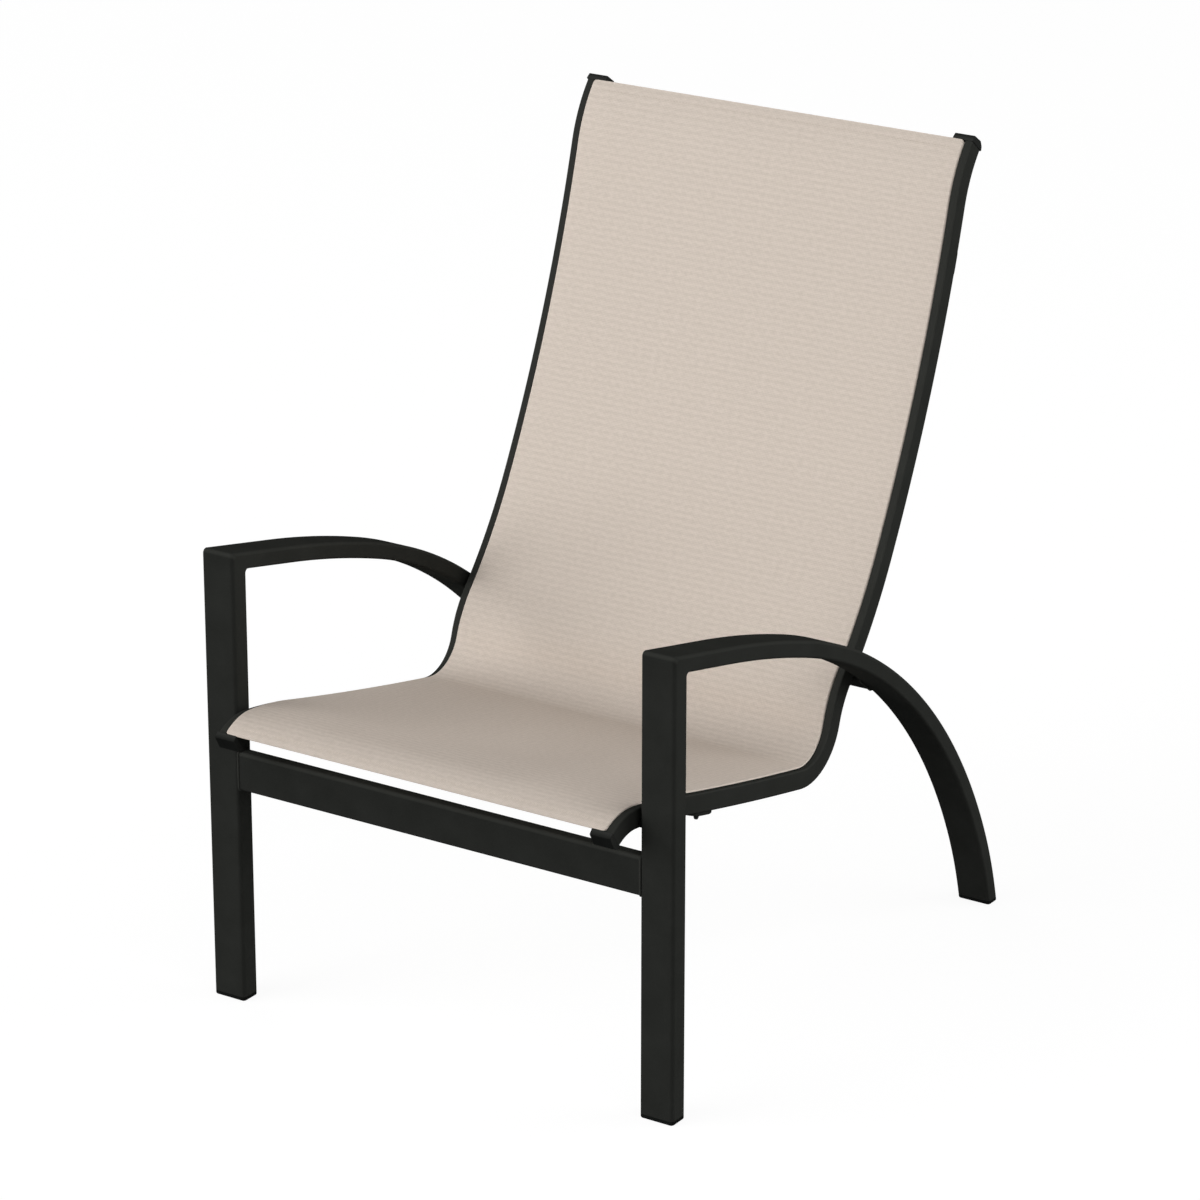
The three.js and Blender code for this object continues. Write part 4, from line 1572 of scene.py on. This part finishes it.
@dataclass(frozen=True)
class Fasteners:
    """The screws with their sockets, and the sleeves that keep the rails off the legs."""

    head_diameter: float = 11.0
    head_height: float = 4.4
    # Each ring of the head's rim, as its inset and height
    rim: tuple[tuple[float, float], ...] = ((0.2, 0.0), (0.0, 0.3), (0.15, 1.2))
    # Each ring of its crown, as shares of its radius and height
    crown: tuple[tuple[float, float], ...] = ((0.86, 0.66), (0.68, 0.9), (0.52, 1.0), (0.45, 1.0))
    head_points: int = 24
    head_crease_angle: float = 30.0
    spreader_head_diameter: float = 7.0
    spreader_head_height: float = 6.6
    shank_diameter: float = 6.0
    shank_length: float = 6.0
    socket_width: float = 4.0
    socket_depth: float = 2.2
    seed: int = 3
    spacer_diameter: float = 11.0
    spacer_points: int = 32
    spacer_chamfer: float = 0.6
    groove_reach: float = 0.4
    groove_depth: float = 0.3
    rail_to_leg: float = 7.6

    def head(self) -> Mesh:
        """A button head with a hexagon socket, on a short shank.

        Returns:
            Its mesh, with its seat at zero height.
        """
        shank, radius, height = self.shank_diameter / 2, self.head_diameter / 2, self.head_height
        profile = [
            (shank, -self.shank_length), (shank, 0.0),
            *((radius - inset, up) for inset, up in self.rim),
            *((radius * out, height * up) for out, up in self.crown),
        ]
        rings = turned_rings(profile, self.head_points)
        angles = [math.tau * i / self.head_points for i in range(self.head_points)]
        across = self.socket_width / 2
        for depth in (0.0, self.socket_depth):
            ring = []
            for a in angles:
                sector = (a + math.pi / 6) % (math.pi / 3) - math.pi / 6
                ring.append(Vector((math.cos(a), math.sin(a), 0)) * across / math.cos(sector))
                ring[-1].z = height - depth
            rings.append(ring)
        return smoothed(loft("screw_head", rings), self.head_crease_angle)

    def places(self) -> list[tuple[Vector, Vector, Vector]]:
        """Where the heads sit.

        Returns:
            Seat, outward direction and scale of each head.
        """
        rails, bars, spreader = SlingRails(), Crossbars(), SpreaderBar()
        found = []
        full = Vector((1, 1, 1))
        thin = self.spreader_head_diameter / self.head_diameter
        slim = Vector((thin, thin, self.spreader_head_height / self.head_height))
        spreaders = [RAIL_PATH.station(along) for along in SPREADER_PLACES.values()]
        rear, arm = bars.rear_station()
        to_rear_face = arm.forward * (bars.rear_width / 2 + SEAT_GAP)
        for side in Side:
            sign = side.value
            bolt = middle_of(f"{side.label}_front_rail_bolt")
            inner = sign * (rails.outer_face - rails.width - SEAT_GAP)
            found.append((Vector((inner, bolt.y, bolt.z)), Vector((-sign, 0, 0)), full))
            seat = Vector((sign * rails.middle, rear.y, rear.z)) + to_rear_face
            found.append((seat, arm.forward, full))
            for station in spreaders:
                depth = rails.size + spreader.end_thickness + 2 * SEAT_GAP
                seat = station.point(sign * rails.middle, depth)
                found.append((seat, station.inward, slim))
        return found

    def screws(self) -> Mesh:
        """All the screws, each turned by its own angle.

        Returns:
            The screws as one plain mesh.
        """
        template = new_object("screw_template", self.head())
        pattern = PatternTree("screws")
        tree = pattern.nodes
        screw = pattern.size("Screw", template, "Object")
        seed = pattern.size("Seed", self.seed, "Int")
        shape = add_node(tree, "GeometryNodeObjectInfo", {"Object": screw})
        facing, scale = (
            add_node(
                tree, "GeometryNodeInputNamedAttribute", {"Name": name}, data_type="FLOAT_VECTOR"
            )
            for name in ("facing", "scale")
        )
        facing = add_node(tree, "FunctionNodeAlignRotationToVector", {"Vector": facing}, axis="Z")
        angle = add_node(tree, "FunctionNodeRandomValue", {2: 0.0, 3: math.tau, 8: seed})
        spin = add_node(tree, "ShaderNodeCombineXYZ", {2: angle.outputs[1]})
        sockets = {0: facing, 1: spin}
        turned = add_node(tree, "FunctionNodeRotateRotation", sockets, rotation_space="LOCAL")
        seats = {"Points": pattern.geometry, "Instance": shape.outputs["Geometry"]}
        sockets = {**seats, "Rotation": turned, "Scale": scale}
        pattern.finish(add_node(tree, "GeometryNodeInstanceOnPoints", sockets), BLACK_ZINC)
        places, *marks = zip(*self.places())
        points = bpy.data.meshes.new("screw_places")
        points.from_pydata([place * MM for place in places], [], [])
        for name, values in zip(("facing", "scale"), marks):
            attribute = points.attributes.new(name, "FLOAT_VECTOR", "POINT")
            for point, value in zip(attribute.data, values):
                point.vector = value
        mesh = pattern.applied(points)
        bpy.data.objects.remove(template)
        return mesh

    def spacer(self, side: Side) -> Mesh:
        """A turned sleeve between the rail and the leg, with a fine groove round its middle.

        Args:
            side: The side.

        Returns:
            The sleeve's mesh, in place.
        """
        radius, length = self.spacer_diameter / 2, self.rail_to_leg - 2 * SEAT_GAP
        cut, half = self.spacer_chamfer, length / 2
        waist = (radius - self.groove_depth, half)
        profile = [
            (radius - cut, 0.0), (radius, cut), (radius, half - self.groove_reach), waist,
            (radius, half + self.groove_reach), (radius, length - cut), (radius - cut, length),
        ]
        mesh = loft(f"{side.label}_spacer", turned_rings(profile, self.spacer_points))
        place = middle_of(f"{side.label}_front_spacer")
        place.x = side.value * (SlingRails().outer_face + SEAT_GAP)
        turn = Vector((side.value, 0, 0)).to_track_quat("Z", "Y").to_matrix().to_4x4()
        mesh.transform(Matrix.Translation(place * MM) @ turn)
        return smoothed(mesh)

    def build(self) -> None:
        """Makes the screws and sleeves."""
        kinds = ("front_rail", "rear_rail", "seat_spreader", "back_spreader")
        bolts = [f"{side.label}_{kind}_bolt" for side in Side for kind in kinds]
        add_piece("socket_screws", self.screws(), BLACK_ZINC, Slot.HARDWARE, bolts)
        for side in Side:
            name = f"{side.label}_front_spacer"
            add_piece(f"{name}_sleeve", self.spacer(side), MOULDED_NYLON, Slot.PLASTIC, [name])


class HiddenPieces:
    """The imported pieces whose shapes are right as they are."""

    def build(self) -> None:
        """Gives the splines and rear pads their finishes."""
        kinds = (("spline", VINYL_ROD, Slot.SPLINE), ("rear_spacer", MOULDED_NYLON, Slot.PLASTIC))
        for side in Side:
            for name, finish, slot in kinds:
                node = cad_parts[f"{side.label}_{name}"]
                node.data.materials.clear()
                node.data.materials.append(finish.material())
                LOG.info("%s: packed shape, %s", node.name, finish.name)


# --------------------------------------------------------------------------------------
# Studio


def direction(azimuth: float, elevation: float) -> Vector:
    """The direction from the chair at angles in degrees round from its front and up."""
    a, e = math.radians(azimuth), math.radians(elevation)
    return Vector((math.sin(a) * math.cos(e), -math.cos(a) * math.cos(e), math.sin(e)))


@dataclass(frozen=True)
class Lamp:
    """A soft panel that faces the chair, set by its direction and its light on the chair."""

    name: str
    azimuth: float
    elevation: float
    strength: float
    size: float = 10.0
    distance: float = 12.0
    target: tuple[float, float, float] = (0.0, 0.0, 0.5)

    def build(self) -> None:
        """Hangs the panel, all in metres."""
        towards = direction(self.azimuth, self.elevation)
        data = bpy.data.lights.new(self.name, "AREA")
        data.shape = "DISK"
        data.size = self.size
        # A small panel of this power lights a facing surface as a white one at the strength.
        data.energy = self.strength * math.pi**2 * self.distance**2
        lamp = new_object(self.name, data)
        lamp.location = Vector(self.target) + towards * self.distance
        lamp.rotation_mode = "QUATERNION"
        lamp.rotation_quaternion = (-towards).to_track_quat("-Z", "Y")
        lamp.visible_camera = False


@dataclass(frozen=True)
class Studio:
    """The camera of the photograph, a pale floor, and soft light."""

    eye: tuple[float, float, float] = (3.04266, -4.64406, 2.53471)
    azimuth: float = 33.271857
    elevation: float = 20.421268
    lens: float = 146.9727
    sensor: float = 36.0
    view_distance: float = 200.0
    floor_size: float = 60.0
    floor_drop: float = 0.0006
    floor_colour: str = "#b4b4b4"
    seen_white: float = 1.0
    shadow_share: float = 0.3
    floor_light: float = 0.28
    ambient: float = 0.125
    lamps: tuple[Lamp, ...] = (
        Lamp("front_right_panel", -40, 10, 0.72),
        Lamp("high_right_panel", -40, 40, 0.15),
        Lamp("front_panel", -10, 10, 0.24),
        Lamp("high_left_panel", 60, 40, 0.22),
        Lamp("rear_left_panel", 120, 10, 0.74),
        Lamp("rear_right_panel", -120, 20, 0.15),
    )

    def camera(self) -> None:
        """Sets the camera up where the photograph was taken."""
        back, turn = direction(self.azimuth, self.elevation), math.radians(self.azimuth)
        right = Vector((math.cos(turn), math.sin(turn), 0))
        axes = Matrix((right, back.cross(right), back)).transposed()
        data = bpy.data.cameras.new("photo_camera")
        data.lens, data.sensor_width = self.lens, self.sensor
        data.clip_end = self.view_distance
        camera = new_object("photo_camera", data)
        camera.matrix_world = Matrix.Translation(self.eye) @ axes.to_4x4()
        bpy.context.scene.camera = camera

    def seen_directly(self, tree: Tree) -> Node:
        """Tells what is seen straight away or by way of metal or glass.

        Args:
            tree: A tree of a material or a world.

        Returns:
            The node that gives one for such rays.
        """
        path = add_node(tree, "ShaderNodeLightPath")
        seen: Any = path.outputs["Is Camera Ray"]
        for ray in ("Is Glossy Ray", "Is Transmission Ray"):
            sockets = {0: seen, 1: path.outputs[ray]}
            seen = add_node(tree, "ShaderNodeMath", sockets, operation="MAXIMUM")
        return seen

    def world(self) -> None:
        """White where it is seen, and an even soft light otherwise."""
        world = bpy.data.worlds.new("studio_world")
        tree = emptied_tree(world)
        levels = {"To Min": self.ambient, "To Max": self.seen_white}
        sockets = {"Value": self.seen_directly(tree), **levels}
        strength = add_node(tree, "ShaderNodeMapRange", sockets)
        sockets = {"Strength": strength, "Color": (1, 1, 1, 1)}
        sky = add_node(tree, "ShaderNodeBackground", sockets)
        add_node(tree, "ShaderNodeOutputWorld", {"Surface": sky})
        bpy.context.scene.world = world

    def floor(self) -> None:
        """A pale floor that keeps the chair's shadow and is otherwise white to the camera."""
        half = self.floor_size / 2
        mesh = bpy.data.meshes.new("studio_floor")
        corners = [(-half, -half), (half, -half), (half, half), (-half, half)]
        mesh.from_pydata([(x, y, -self.floor_drop) for x, y in corners], [], [(0, 1, 2, 3)])
        floor = new_object("studio_floor", mesh)
        material = bpy.data.materials.new("pale_floor")
        tree = emptied_tree(material)
        seen, colour = self.seen_directly(tree), linear(self.floor_colour)
        dark = (*[c * self.shadow_share for c in colour[:3]], 1.0)
        sockets = {MIX_FACTOR: seen, MIX_FIRST: colour, MIX_SECOND: dark}
        paint = add_node(tree, "ShaderNodeMix", sockets, data_type="RGBA").outputs[MIX_RESULT]
        matt = add_node(tree, "ShaderNodeBsdfDiffuse", {"Color": paint})
        # What the camera sees of the paint and this light come to white where no shadow falls.
        rest = self.seen_white - self.shadow_share * self.floor_light
        strength = add_node(tree, "ShaderNodeMath", {0: seen, 1: rest}, operation="MULTIPLY")
        glow = add_node(tree, "ShaderNodeEmission", {"Strength": strength})
        both = add_node(tree, "ShaderNodeAddShader", {0: matt, 1: glow})
        add_node(tree, "ShaderNodeOutputMaterial", {"Surface": both})
        mesh.materials.append(material)

    def build(self) -> None:
        """Sets the whole studio up."""
        self.camera()
        self.world()
        self.floor()
        for lamp in self.lamps:
            lamp.build()
        bpy.context.scene.view_settings.view_transform = "Standard"


def main() -> None:
    """Builds the studio and the chair, sub-assembly by sub-assembly."""
    logging.basicConfig(level=logging.INFO, format="%(name)s: %(message)s")
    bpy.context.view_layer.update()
    Studio().build()
    for side in Side:
        SideFrame().build(side)
        SlingRails().build(side)
    Crossbars().build()
    Sling().build()
    for name, along in SPREADER_PLACES.items():
        SpreaderBar().build(name, along)
    Fasteners().build()
    HiddenPieces().build()


if __name__ == "__main__":
    main()
